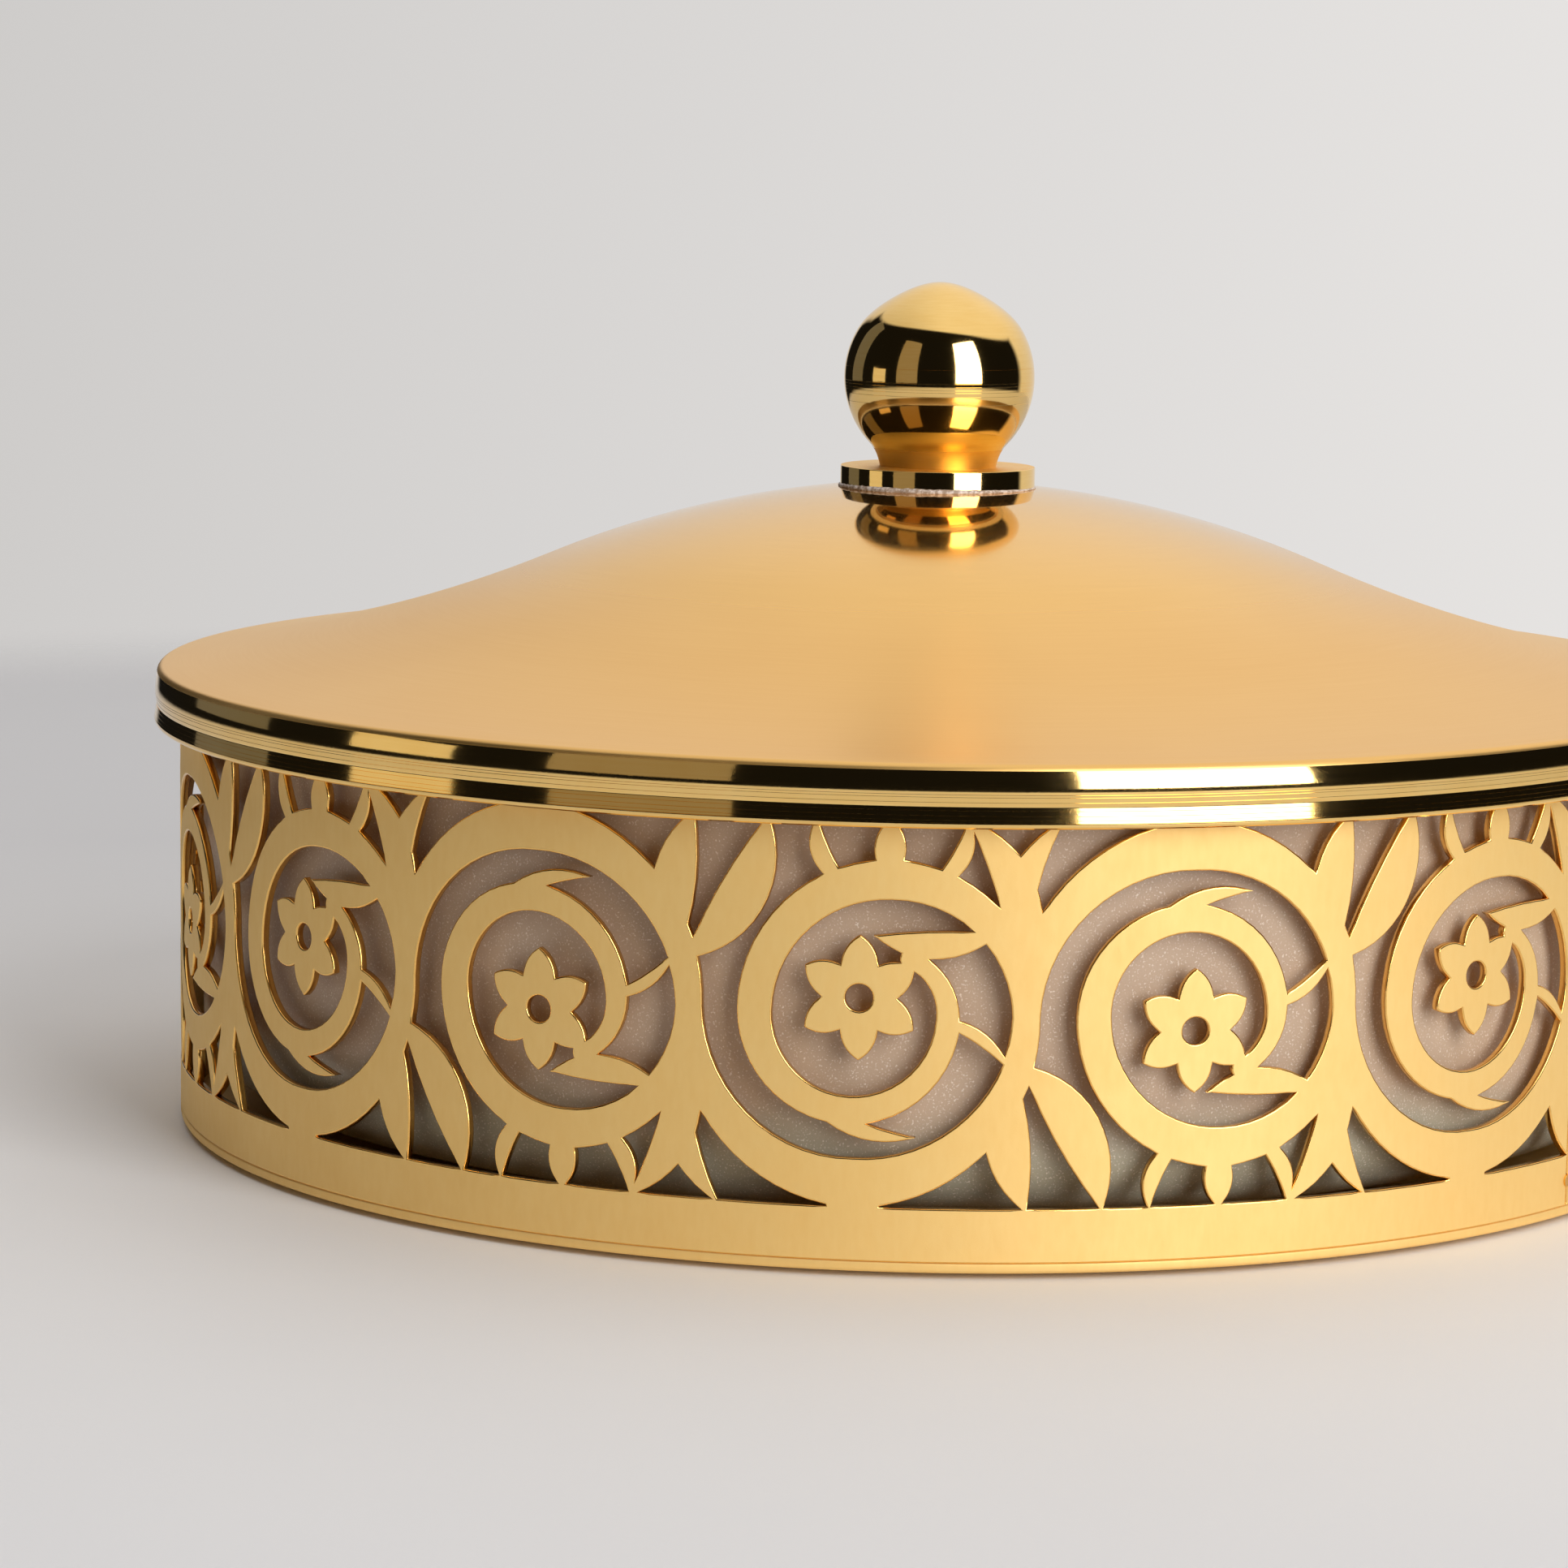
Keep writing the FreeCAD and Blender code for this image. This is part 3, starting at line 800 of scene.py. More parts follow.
@dataclass
class PiercedBand:
    """Rolled and pierced strip with its butt seam."""

    node: str = "pierced_band"
    tacks_node: str = "band_seam_tacks"
    edge_round: float = 0.24 * MM
    back_round: float = 0.15 * MM
    least_round: float = 0.004 * MM
    tip_round: float = 0.03 * MM
    round_turns: int = 2
    least_step: float = 0.3 * MM
    longest_step: float = 2.0 * MM
    narrow_step: float = 0.15 * MM
    corner_angle: float = math.radians(28)
    least_miter: float = 0.5
    sample_step: float = 0.06 * MM
    room_share: float = 0.985
    room_kept: float = 0.9
    narrow_share: float = 0.7
    room_slope: float = 0.5
    grid_step: float = 4.0 * MM
    grid_room: float = 1.2 * MM
    skin: float = 0.005 * MM
    fill_share: float = 0.01
    crisp_degrees: float = 50

    def __post_init__(self) -> None:
        """Read the band's radii and its seam from the frame."""
        low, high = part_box(self.tacks_node)
        self.outer_radius = reach(self.node)
        self.seam = math.atan2((low.y + high.y) / 2, (low.x + high.x) / 2)
        points = [vertex.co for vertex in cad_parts[self.node].data.vertices]
        self.inner_radius = min(point.xy.length for point in points)
        self.middle_radius = (self.outer_radius + self.inner_radius) / 2
        self.thickness = self.outer_radius - self.inner_radius

    def radii(self, mesh: bpy.types.Mesh, face: bpy.types.MeshPolygon) -> list[float]:
        """Distances of a face's corners from the axis."""
        return [mesh.vertices[index].co.xy.length for index in face.vertices]

    def flat_sheet(self) -> bpy.types.Object:
        """Outer face of the band, unrolled flat from the seam, with heights along Y."""
        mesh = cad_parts[self.node].data.copy()
        sheet = put("pierced_band_flat", mesh)
        edit(sheet)
        bpy.ops.mesh.remove_doubles(threshold=MERGE)
        bpy.ops.mesh.select_mode(type="FACE")
        bpy.ops.mesh.select_all(action="DESELECT")
        close_edit()
        for face in mesh.polygons:
            face.select = min(self.radii(mesh, face)) < self.middle_radius
        bpy.ops.object.mode_set(mode="EDIT")
        bpy.ops.mesh.delete(type="FACE")
        close_edit()
        for vertex in mesh.vertices:
            angle = (math.atan2(vertex.co.y, vertex.co.x) - self.seam) % FULL_TURN
            vertex.co = (angle * self.outer_radius, vertex.co.z, 0)
        return sheet

    def cut_edges(self, mesh: bpy.types.Mesh) -> list[CutEdge]:
        """Cut edges of the flat sheet, each as one closed run of points."""
        sides = set()
        for face in mesh.polygons:
            corners = list(face.vertices)
            sides.update(zip(corners, corners[1:] + corners[:1]))
        follows = {here: there for here, there in sides if (there, here) not in sides}
        edges = []
        while follows:
            here = min(follows)
            run = []
            while here in follows:
                run.append(mesh.vertices[here].co.xy)
                here = follows.pop(here)
            edges.append(CutEdge(run).thinned(self.least_step, self.corner_angle))
        return edges

    def sample(self, edges: list[CutEdge]) -> kdtree.KDTree:
        """Points close together along all cut edges."""
        fine = [point.to_3d() for edge in edges for point in edge.divided(self.sample_step).points]
        samples = kdtree.KDTree(len(fine))
        for index, point in enumerate(fine):
            samples.insert(point, index)
        samples.balance()
        return samples

    def fits(self, samples: kdtree.KDTree, point: Vector, way: Vector, room: float) -> bool:
        """Whether a rounding has room at a point, on a way into the metal."""
        return samples.find((point + way * room).to_3d())[2] > room * self.room_share

    def stepped(self, edge: CutEdge, samples: kdtree.KDTree) -> CutEdge:
        """Same edge with short steps where the metal is narrow and longer ones elsewhere."""
        made = []
        for index, here in enumerate(edge.points):
            way = edge.points[(index + 1) % edge.count()] - here
            left = left_of_way(way.normalized())
            places = steps_along(here, way, self.narrow_step)
            if all(self.fits(samples, place, left, self.edge_round) for place in places[1:]):
                places = steps_along(here, way, self.longest_step)
            made += places
        return CutEdge(made)

    def find_rooms(self, edge: CutEdge, samples: kdtree.KDTree) -> None:
        """Find the rounding that has room at each point of an edge, smaller where the metal is narrow."""
        for index, point in enumerate(edge.points):
            way = edge.inwards(index, self.least_miter)
            room = self.edge_round
            while room > self.least_round and not self.fits(samples, point, way, room):
                room *= self.room_kept
            if room < self.edge_round:
                room *= self.narrow_share
            edge.rooms.append(room if room > self.tip_round else self.least_round)
        edge.even_out(self.room_slope)

    def rows(self, edge: CutEdge) -> list[list[Vector]]:
        """Rows of points along a cut edge, from the back face round the wall to the front face."""
        turns = [math.pi / 2 * index / self.round_turns for index in range(self.round_turns + 1)]
        made = [[] for _ in range(self.round_turns + 3)]
        for index, point in enumerate(edge.points):
            way = edge.inwards(index, self.least_miter)
            room = edge.rooms[index]
            back = min(room, self.back_round)
            made[0].append((point + way * back).to_3d() - Vector((0, 0, self.thickness)))
            made[1].append(point.to_3d() - Vector((0, 0, self.thickness - back)))
            for row, angle in zip(made[2:], turns):
                inset = point + way * (room * (1 - math.cos(angle)))
                row.append(inset.to_3d() - Vector((0, 0, room * (1 - math.sin(angle)))))
        return made

    def grid(self, edges: list[CutEdge], samples: kdtree.KDTree) -> list[Vector]:
        """Points inside the sheet, away from its cut edges, that let it roll up round."""
        across = max(point.x for edge in edges for point in edge.points)
        up = max(point.y for edge in edges for point in edge.points)
        made = []
        for column in range(math.ceil(across / self.grid_step)):
            for row in range(math.ceil(up / self.grid_step)):
                point = Vector((column + 0.5 * (row % 2), row, 0)) * self.grid_step
                if samples.find(point)[2] > self.grid_room:
                    made.append(point)
        return made

    def build(self) -> bpy.types.Object:
        """Wall and rounded edges along each cut edge, both faces filled between them, then rolled up."""
        sheet = self.flat_sheet()
        edges = self.cut_edges(sheet.data)
        bpy.data.objects.remove(sheet)
        samples = self.sample(edges)
        edges = [self.stepped(edge, samples) for edge in edges]
        for edge in edges:
            self.find_rooms(edge, samples)
        corners = []
        faces = []
        back_rim = []
        front_rim = []
        for edge in edges:
            rows = self.rows(edge)
            count = edge.count()
            start = len(corners)
            corners += [corner for row in rows for corner in row]
            sides = [(start + index, start + (index + 1) % count) for index in range(count)]
            lift = count * (len(rows) - 1)
            back_rim += sides
            front_rim += [(here + lift, there + lift) for here, there in sides]
            for rise in range(0, lift, count):
                above = rise + count
                faces += [(here + rise, there + rise, there + above, here + above) for here, there in sides]
        inner = self.grid(edges, samples)
        faces += self.fill(corners, front_rim, inner, 0.0)
        faces += self.fill(corners, back_rim, inner, -self.thickness)
        mesh = bpy.data.meshes.new("pierced_band_rolled")
        mesh.from_pydata([self.rolled(corner) for corner in corners], [], faces)
        band = put("pierced_band_rolled", mesh)
        edit(band)
        bpy.ops.mesh.remove_doubles(threshold=MERGE)
        bpy.ops.mesh.delete_loose()
        close_edit()
        smooth(band, self.crisp_degrees)
        self.shade_round(band)
        return band

    def fill(self, corners: list[Vector], rim: list[tuple[int, int]], inner: list[Vector],
             level: float) -> list[tuple[int, ...]]:
        """Fill one face of the sheet between its rims.

        Args:
            corners: All points so far, to which the points inside are added.
            rim: Edges of the face, by numbers of their points.
            inner: Points inside the sheet.
            level: Height of the face, zero at the front.

        Returns:
            Triangles by numbers of their points, which face away from the sheet.
        """
        names = [here for here, _ in rim]
        places = [corners[name].xy for name in names] + [point.xy for point in inner]
        order = {name: index for index, name in enumerate(names)}
        sides = [(order[here], order[there]) for here, there in rim]
        found = delaunay_2d_cdt(places, sides, [], 0, self.skin * self.fill_share)
        points, triangles, origins = found[0], found[2], found[3]
        renamed = []
        for point, origin in zip(points, origins):
            if origin and origin[0] < len(names):
                renamed.append(names[origin[0]])
                continue
            renamed.append(len(corners))
            corners.append(point.to_3d() + Vector((0, 0, level)))
        made = [tuple(renamed[index] for index in triangle) for triangle in triangles]
        metal = self.left_of(made, rim)
        return metal if level == 0 else [triangle[::-1] for triangle in metal]

    def left_of(self, triangles: list[tuple[int, ...]], rim: list[tuple[int, int]]) -> list[tuple[int, ...]]:
        """Triangles on the left of a rim, followed from one to the next as far as the rim lets them.

        Args:
            triangles: Triangles on both sides of the rim.
            rim: Edges of the rim, with the metal on their left.

        Returns:
            The triangles of the metal.
        """
        owners = {}
        for triangle in triangles:
            for here, there in zip(triangle, triangle[1:] + triangle[:1]):
                owners[here, there] = triangle
        walls = set(rim)
        walls.update((there, here) for here, there in rim)
        waiting = [owners[side] for side in rim if side in owners]
        metal = dict.fromkeys(waiting)
        while waiting:
            triangle = waiting.pop()
            for here, there in zip(triangle, triangle[1:] + triangle[:1]):
                beyond = owners.get((there, here))
                if (here, there) not in walls and beyond is not None and beyond not in metal:
                    metal[beyond] = None
                    waiting.append(beyond)
        return list(metal)

    def rolled(self, corner: Vector) -> Vector:
        """Place of a point of the flat sheet on the rolled band."""
        angle = self.seam + corner.x / self.outer_radius
        radius = self.outer_radius + corner.z
        return Vector((radius * math.cos(angle), radius * math.sin(angle), corner.y))

    def shade_round(self, band: bpy.types.Object) -> None:
        """Let both faces shade as one round skin, into which the rounded edges run."""
        mesh = band.data
        normals = [corner.vector.copy() for corner in mesh.corner_normals]
        for corner in mesh.loops:
            place = mesh.vertices[corner.vertex_index].co.xy
            outwards = place.normalized().to_3d()
            if place.length > self.outer_radius - self.skin:
                normals[corner.index] = outwards
            elif place.length < self.inner_radius + self.skin:
                normals[corner.index] = -outwards
        mesh.normals_split_custom_set(normals)

    def polish_edges(self, band: bpy.types.Object, bright: bpy.types.Material) -> None:
        """Give the cut walls and their rounded edges the brighter finish of the plating."""
        mesh = band.data
        mesh.materials.append(bright)
        for face in mesh.polygons:
            radii = self.radii(mesh, face)
            front = min(radii) > self.outer_radius - self.skin
            back = max(radii) < self.inner_radius + self.skin
            face.material_index = 0 if front or back else 1

    def add(self, gold: bpy.types.Material, bright: bpy.types.Material) -> None:
        """Build the band, dress it and fit it to the bowl."""
        band = self.build()
        dress(band, gold)
        self.polish_edges(band, bright)
        fit(band, Body.BOWL, Slot.BAND_GOLD, self.node)


@dataclass
class BasePlate:
    """Pressed plate under the band, and its felt pads."""

    node: str = "base_plate"
    lower_round: float = 0.5 * MM
    upper_round: float = 0.2 * MM
    sheet: float = 1.4 * MM
    wall: float = 1.0 * MM
    wall_inset: float = 1.25 * MM
    turn_steps: int = 240
    pad_nodes: tuple[str, ...] = ("foot_pad_1", "foot_pad_2", "foot_pad_3", "foot_pad_4")
    pad_sides: int = 64
    pad_round: float = 0.3 * MM
    pad_round_steps: int = 3
    pad_crisp_degrees: float = 35

    def build(self) -> bpy.types.Object:
        """Plate with its locating wall."""
        outer = reach(self.node)
        bottom = bottom_of(self.node)
        top = bottom + self.sheet
        wall_top = top_of(self.node)
        wall_outer = outer - self.wall_inset
        wall_inner = wall_outer - self.wall
        outline = Outline()
        outline.to(0, bottom).to(outer, bottom, self.lower_round).to(outer, top, self.upper_round)
        outline.to(wall_outer, top).to(wall_outer, wall_top, self.upper_round)
        outline.to(wall_inner, wall_top, self.upper_round).to(wall_inner, top).to(0, top)
        return turn("base_plate_pressing", outline, self.turn_steps)

    def build_pad(self, node: str) -> bpy.types.Object:
        """Felt disc with soft edges."""
        low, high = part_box(node)
        middle = (low + high) / 2
        deselect()
        bpy.ops.mesh.primitive_cylinder_add(
            vertices=self.pad_sides, radius=(high.x - low.x) / 2, depth=high.z - low.z, location=middle)
        pad = settle(node + "_felt")
        bevel = pad.modifiers.new("soft_edge", "BEVEL")
        bevel.width = self.pad_round
        bevel.segments = self.pad_round_steps
        apply_modifiers(pad)
        smooth(pad, self.pad_crisp_degrees)
        return pad

    def add(self, gold: bpy.types.Material, felt: bpy.types.Material) -> None:
        """Build the plate and its pads, dress them and fit them to the bowl."""
        plate = self.build()
        dress(plate, gold)
        fit(plate, Body.BOWL, Slot.BAND_GOLD, self.node)
        for node in self.pad_nodes:
            pad = self.build_pad(node)
            dress(pad, felt)
            fit(pad, Body.BOWL, Slot.FELT, node)


@dataclass
class RimCollar:
    """Turned ring on top of the band."""

    node: str = "rim_collar"
    lip_round: float = 0.7 * MM
    edge_round: float = 0.15 * MM
    lean: float = 0.45 * MM
    web: float = 1.7 * MM
    groove_inner: float = 114.75 * MM
    groove_outer: float = 116.05 * MM
    skirt_inner: float = 112.85 * MM
    ledge_radius: float = 114.15 * MM
    ledge_drop: float = 0.8 * MM
    line_shares: tuple[float, ...] = (0.30, 0.42, 0.62, 0.85)
    line_depth: float = 0.035 * MM
    turn_steps: int = 240
    crisp_degrees: float = 24

    def build(self) -> bpy.types.Object:
        """Ring with its groove for the band, its ledge for the liner and fine lines on its leaning wall."""
        rim = reach(self.node)
        bottom = bottom_of(self.node)
        top = top_of(self.node)
        groove_top = top - self.web
        ledge = top - self.ledge_drop
        outline = Outline()
        outline.to(self.skirt_inner, ledge).to(self.skirt_inner, bottom, self.edge_round)
        outline.to(self.groove_inner, bottom).to(self.groove_inner, groove_top)
        outline.to(self.groove_outer, groove_top).to(self.groove_outer, bottom)
        outline.to(rim, bottom, self.lip_round)
        outline.scored(rim - self.lean, top, self.line_shares, self.line_depth)
        outline.to(self.ledge_radius, top).to(self.ledge_radius, ledge).closed()
        return turn("rim_collar_ring", outline, self.turn_steps, self.crisp_degrees)

    def add(self, gold: bpy.types.Material) -> None:
        """Build the collar, dress it and fit it to the bowl."""
        collar = self.build()
        dress(collar, gold)
        fit(collar, Body.BOWL, Slot.POLISHED_GOLD, self.node)


@dataclass
class Liner:
    """Straight-sided frosted bowl that hangs on the collar's ledge."""

    node: str = "liner_bowl"
    wall: float = 2.0 * MM
    corner: float = 10.0 * MM
    outer_radius: float = 112.45 * MM
    flange: float = 0.8 * MM
    edge_round: float = 0.25 * MM
    outer_steps: int = 14
    inner_steps: int = 12
    turn_steps: int = 200

    def build(self) -> bpy.types.Object:
        """Bowl with a rounded foot and a thin flange."""
        bottom = bottom_of(self.node)
        top = top_of(self.node)
        inner = self.outer_radius - self.wall
        ledge = top - self.flange
        foot = (self.outer_radius - self.corner, bottom + self.corner)
        outline = Outline()
        outline.to(0, bottom).sweep(foot, self.corner, -90, 0, self.outer_steps)
        outline.to(self.outer_radius, ledge).to(reach(self.node), ledge, self.edge_round)
        outline.to(reach(self.node), top, self.edge_round).to(inner, top, self.edge_round)
        outline.sweep(foot, self.corner - self.wall, 0, -90, self.inner_steps).to(0, bottom + self.wall)
        return turn("liner_bowl_frosted", outline, self.turn_steps)

    def add(self, frosted: bpy.types.Material) -> None:
        """Build the liner, dress it and fit it."""
        liner = self.build()
        dress(liner, frosted)
        fit(liner, Body.LINER, Slot.FROSTED_LINER, self.node)


@dataclass
class Lid:
    """Spun bell-shaped lid with its locating hoop."""

    node: str = "lid_shell"
    hoop_node: str = "lid_locating_hoop"
    sheet: float = 1.0 * MM
    edge_height: float = 5.7 * MM
    edge_round: float = 1.5 * MM
    shoulder: float = 1.13 * MM
    shoulder_end_degrees: float = 14
    curl: float = 2.1 * MM
    lip: float = 2.0 * MM
    hole: float = 2.75 * MM
    crown_share: float = 0.51
    steepest_degrees: float = 23.2
    rim_degrees: float = 7.5
    facet_height: float = 2.1 * MM
    facet_lean: float = 0.2 * MM
    facet_round: float = 0.3 * MM
    line_shares: tuple[float, ...] = (0.22, 0.42, 0.80)
    line_depth: float = 0.03 * MM
    crown_steps: int = 30
    cove_steps: int = 16
    shoulder_steps: int = 8
    curl_steps: int = 5
    inner_cove_steps: int = 10
    inner_crown_steps: int = 16
    turn_steps: int = 240
    crisp_degrees: float = 24
    hoop_sheet: float = 1.0 * MM
    hoop_round: float = 0.3 * MM
    hoop_steps: int = 200

    def __post_init__(self) -> None:
        """Work the dome's arcs out from the lid's rim and slopes."""
        self.rim = reach(self.node)
        self.seat = bottom_of(self.node)
        steepest = math.radians(self.steepest_degrees)
        slope = math.radians(self.rim_degrees)
        self.edge = self.seat + self.edge_height
        self.run = self.rim - self.edge_round * (1 - math.sin(slope))
        self.crown = self.crown_share * self.run / math.sin(steepest)
        self.cove = (1 - self.crown_share) * self.run / (math.sin(steepest) - math.sin(slope))
        cove_drop = self.cove * (math.cos(slope) - math.cos(steepest))
        self.crown_centre = (0.0, self.edge + cove_drop - self.crown * math.cos(steepest))
        self.cove_centre = (self.run + self.cove * math.sin(slope), self.edge + self.cove * math.cos(slope))
        self.shoulder_centre = (
            self.run - self.shoulder * math.sin(slope),
            self.edge - self.shoulder * math.cos(slope),
        )

    def crown_angle(self, radius: float, depth: float = 0.0) -> float:
        """Angle on the crown's arc, in degrees, at a radius and a depth below the outside."""
        return math.degrees(math.acos(radius / (self.crown - depth)))

    def underside(self, radius: float) -> float:
        """Height of the inside of the cove at a radius."""
        reach_in = self.cove_centre[0] - radius
        return self.cove_centre[1] - math.sqrt((self.cove + self.sheet) ** 2 - reach_in ** 2)

    def build(self) -> bpy.types.Object:
        """Dome, soft shoulder, leaning wall, lined facet and the lip curled in under it."""
        turning = 90 - self.steepest_degrees
        rim_angle = 90 - self.rim_degrees
        curl_centre = (self.rim - self.curl, self.seat + self.curl)
        lip_end = curl_centre[0] - self.lip
        facet_end = self.rim - self.facet_lean
        inner_crown = self.crown - self.sheet
        inner_cove = self.cove + self.sheet
        inner_hole = self.crown_angle(self.hole, self.sheet)
        outline = Outline()
        outline.sweep(self.crown_centre, self.crown, self.crown_angle(self.hole), turning, self.crown_steps)
        outline.sweep(self.cove_centre, self.cove, 180 + turning, 180 + rim_angle, self.cove_steps)
        outline.sweep(
            self.shoulder_centre, self.shoulder, rim_angle, self.shoulder_end_degrees, self.shoulder_steps)
        outline.to(self.rim, self.seat + self.facet_height)
        outline.scored(facet_end, self.seat + self.facet_round, self.line_shares, -self.line_depth)
        outline.to(facet_end - self.facet_round / 4, self.seat + self.facet_round / 4)
        outline.to(facet_end - self.facet_round, self.seat)
        outline.to(lip_end, self.seat).to(lip_end, self.seat + self.sheet)
        outline.sweep(curl_centre, self.curl - self.sheet, -90, 0, self.curl_steps)
        outline.to(self.rim - self.sheet, self.edge - self.edge_round)
        outline.sweep(self.cove_centre, inner_cove, 180 + rim_angle, 180 + turning, self.inner_cove_steps)
        outline.sweep(self.crown_centre, inner_crown, turning, inner_hole, self.inner_crown_steps)
        return turn("lid_shell_spun", outline.closed(), self.turn_steps, self.crisp_degrees)

    def polish_wall(self, shell: bpy.types.Object, polished: bpy.types.Material) -> None:
        """Give the wall and curl of the rim the polished finish."""
        shell.data.materials.append(polished)
        end = math.radians(self.shoulder_end_degrees)
        wall_top = self.shoulder_centre[1] + self.shoulder * math.sin(end)
        for face in shell.data.polygons:
            outwards = face.normal.xy.dot(face.center.xy) > 0
            if outwards and face.center.z < wall_top:
                face.material_index = 1

    def build_hoop(self) -> bpy.types.Object:
        """Hoop under the dome."""
        outer = reach(self.hoop_node)
        inner = outer - self.hoop_sheet
        bottom = bottom_of(self.hoop_node)
        outline = Outline()
        outline.to(inner, self.underside(inner)).to(inner, bottom, self.hoop_round)
        outline.to(outer, bottom, self.hoop_round).to(outer, self.underside(outer)).closed()
        return turn("lid_hoop_ring", outline, self.hoop_steps)

    def add(self, satin: bpy.types.Material, polished: bpy.types.Material, gold: bpy.types.Material) -> None:
        """Build the lid and its hoop, dress them and fit them."""
        shell = self.build()
        dress(shell, satin)
        self.polish_wall(shell, polished)
        fit(shell, Body.LID, Slot.SATIN_GOLD, self.node)
        hoop = self.build_hoop()
        dress(hoop, gold)
        fit(hoop, Body.LID, Slot.BAND_GOLD, self.hoop_node)


@dataclass
class Knob:
    """Ball knob on its flange, with the glue below it and the screw and washer that hold it."""

    lid: Lid
    ball_node: str = "ball_knob"
    flange_node: str = "knob_flange"
    steel_nodes: tuple[str, ...] = ("knob_washer", "knob_screw")
    flange_round: float = 0.15 * MM
    flange_steps: int = 6
    flat_limit: float = 0.9
    bore: float = 2.55 * MM
    bore_depth: float = 10.5 * MM
    neck_radius: float = 9.5 * MM
    neck_height: float = 2.4 * MM
    undercut: float = 0.55 * MM
    bend_share: float = 0.2
    waist_height: float = 2.2 * MM
    waist_start: float = -44
    waist_steps: int = 8
    ball_steps: int = 48
    tip_start: float = 30
    tip_draw: float = 0.48
    tip_steps: int = 24
    line_degrees: tuple[float, ...] = (-14, -9, -6.5, -5, -3, -1.2, 7)
    line_depth: float = 0.02 * MM
    turn_steps: int = 160
    bead_thickness: float = 0.46 * MM
    bead_front: float = math.radians(-115)
    bead_lumps: float = 15
    bead_least: float = 0.35
    bead_front_share: float = 0.35
    bead_lump_share: float = 0.9
    bead_steps: int = 240
    bead_sides: int = 8
    bead_crisp_degrees: float = 60

    def build_flange(self) -> bpy.types.Object:
        """Disc under the ball, hollowed below to sit on the dome."""
        outer = reach(self.flange_node)
        top = top_of(self.flange_node)
        hole = self.lid.hole
        start = self.lid.crown_angle(hole)
        end = self.lid.crown_angle(outer)
        outline = Outline()
        outline.sweep(self.lid.crown_centre, self.lid.crown, start, end, self.flange_steps)
        outline.to(outer, top, self.flange_round).to(hole, top).closed()
        return turn("knob_flange_disc", outline, self.turn_steps)

    def build_bead(self) -> bpy.types.Object:
        """Uneven bead of glue round the flange's lower edge, thickest at the front left."""
        radius = reach(self.flange_node)
        height = bottom_of(self.flange_node) + self.bead_thickness / 4
        deselect()
        bpy.ops.mesh.primitive_torus_add(
            major_radius=radius, minor_radius=self.bead_thickness, major_segments=self.bead_steps,
            minor_segments=self.bead_sides, location=(0, 0, height))
        bead = settle("knob_flange_glue")
        for vertex in bead.data.vertices:
            way = vertex.co.xy.normalized()
            core = Vector((way.x * radius, way.y * radius, height))
            front = max(0.0, way.x * math.cos(self.bead_front) + way.y * math.sin(self.bead_front))
            lumps = 0.5 + 0.5 * noise.noise(Vector((way.x, way.y, 0)) * self.bead_lumps)
            size = self.bead_least + front * (self.bead_front_share + self.bead_lump_share * lumps)
            vertex.co = core + (vertex.co - core) * size
        smooth(bead, self.bead_crisp_degrees)
        return bead

    def build_ball(self) -> bpy.types.Object:
        """Ball on its undercut neck, drawn to a slight tip, with turned lines and a hole for the screw."""
        radius = reach(self.ball_node)
        bottom = bottom_of(self.ball_node)
        rise = math.sqrt(radius ** 2 - self.neck_radius ** 2)
        centre = (0.0, bottom + self.neck_height + rise)
        low = math.radians(self.waist_start)
        foot = Vector((self.neck_radius - self.undercut, bottom))
        bend = Vector((self.neck_radius - self.undercut * self.bend_share, bottom + self.waist_height))
        join = Vector((radius * math.cos(low), centre[1] + radius * math.sin(low)))
        outline = Outline()
        outline.to(0, bottom + self.bore_depth).to(self.bore, bottom + self.bore_depth).to(self.bore, bottom)
        for index in range(self.waist_steps):
            share = index / self.waist_steps
            place = foot.lerp(bend, share).lerp(bend.lerp(join, share), share)
            outline.to(place.x, place.y)
        outline.sweep(
            centre, radius, self.waist_start, self.tip_start, self.ball_steps, self.line_degrees,
            self.line_depth)
        for index in range(1, self.tip_steps + 1):
            share = index / self.tip_steps
            angle = math.radians(self.tip_start + (90 - self.tip_start) * share)
            drawn = radius * (1 - self.tip_draw * (share * (1 - share)) ** 2)
            outline.to(drawn * math.cos(angle), centre[1] + drawn * math.sin(angle))
        return turn("ball_knob_turned", outline, self.turn_steps)

    def dull_waist(self, ball: bpy.types.Object, flange: bpy.types.Object, dull: bpy.types.Material) -> None:
        """Leave the neck and the top of the flange as turned, where no polishing pad reaches."""
        waist_top = bottom_of(self.ball_node) + self.waist_height + self.undercut
        ball.data.materials.append(dull)
        for face in ball.data.polygons:
            face.material_index = int(face.center.z < waist_top)
        flange.data.materials.append(dull)
        for face in flange.data.polygons:
            face.material_index = int(face.normal.z > self.flat_limit)

    def add(self, polished: bpy.types.Material, dull: bpy.types.Material, steel: bpy.types.Material,
            glue: bpy.types.Material) -> None:
        """Build the knob, dress it and fit it to the lid."""
        flange = self.build_flange()
        dress(flange, polished)
        ball = self.build_ball()
        dress(ball, polished)
        self.dull_waist(ball, flange, dull)
        bead = self.build_bead()
        dress(bead, glue)
        activate(flange)
        bead.select_set(True)
        bpy.ops.object.join()
        fit(flange, Body.LID, Slot.POLISHED_GOLD, self.flange_node)
        fit(ball, Body.LID, Slot.POLISHED_GOLD, self.ball_node)
        for node in self.steel_nodes:
            dress(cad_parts[node], steel)
            log.info("%s: steel finish", node)


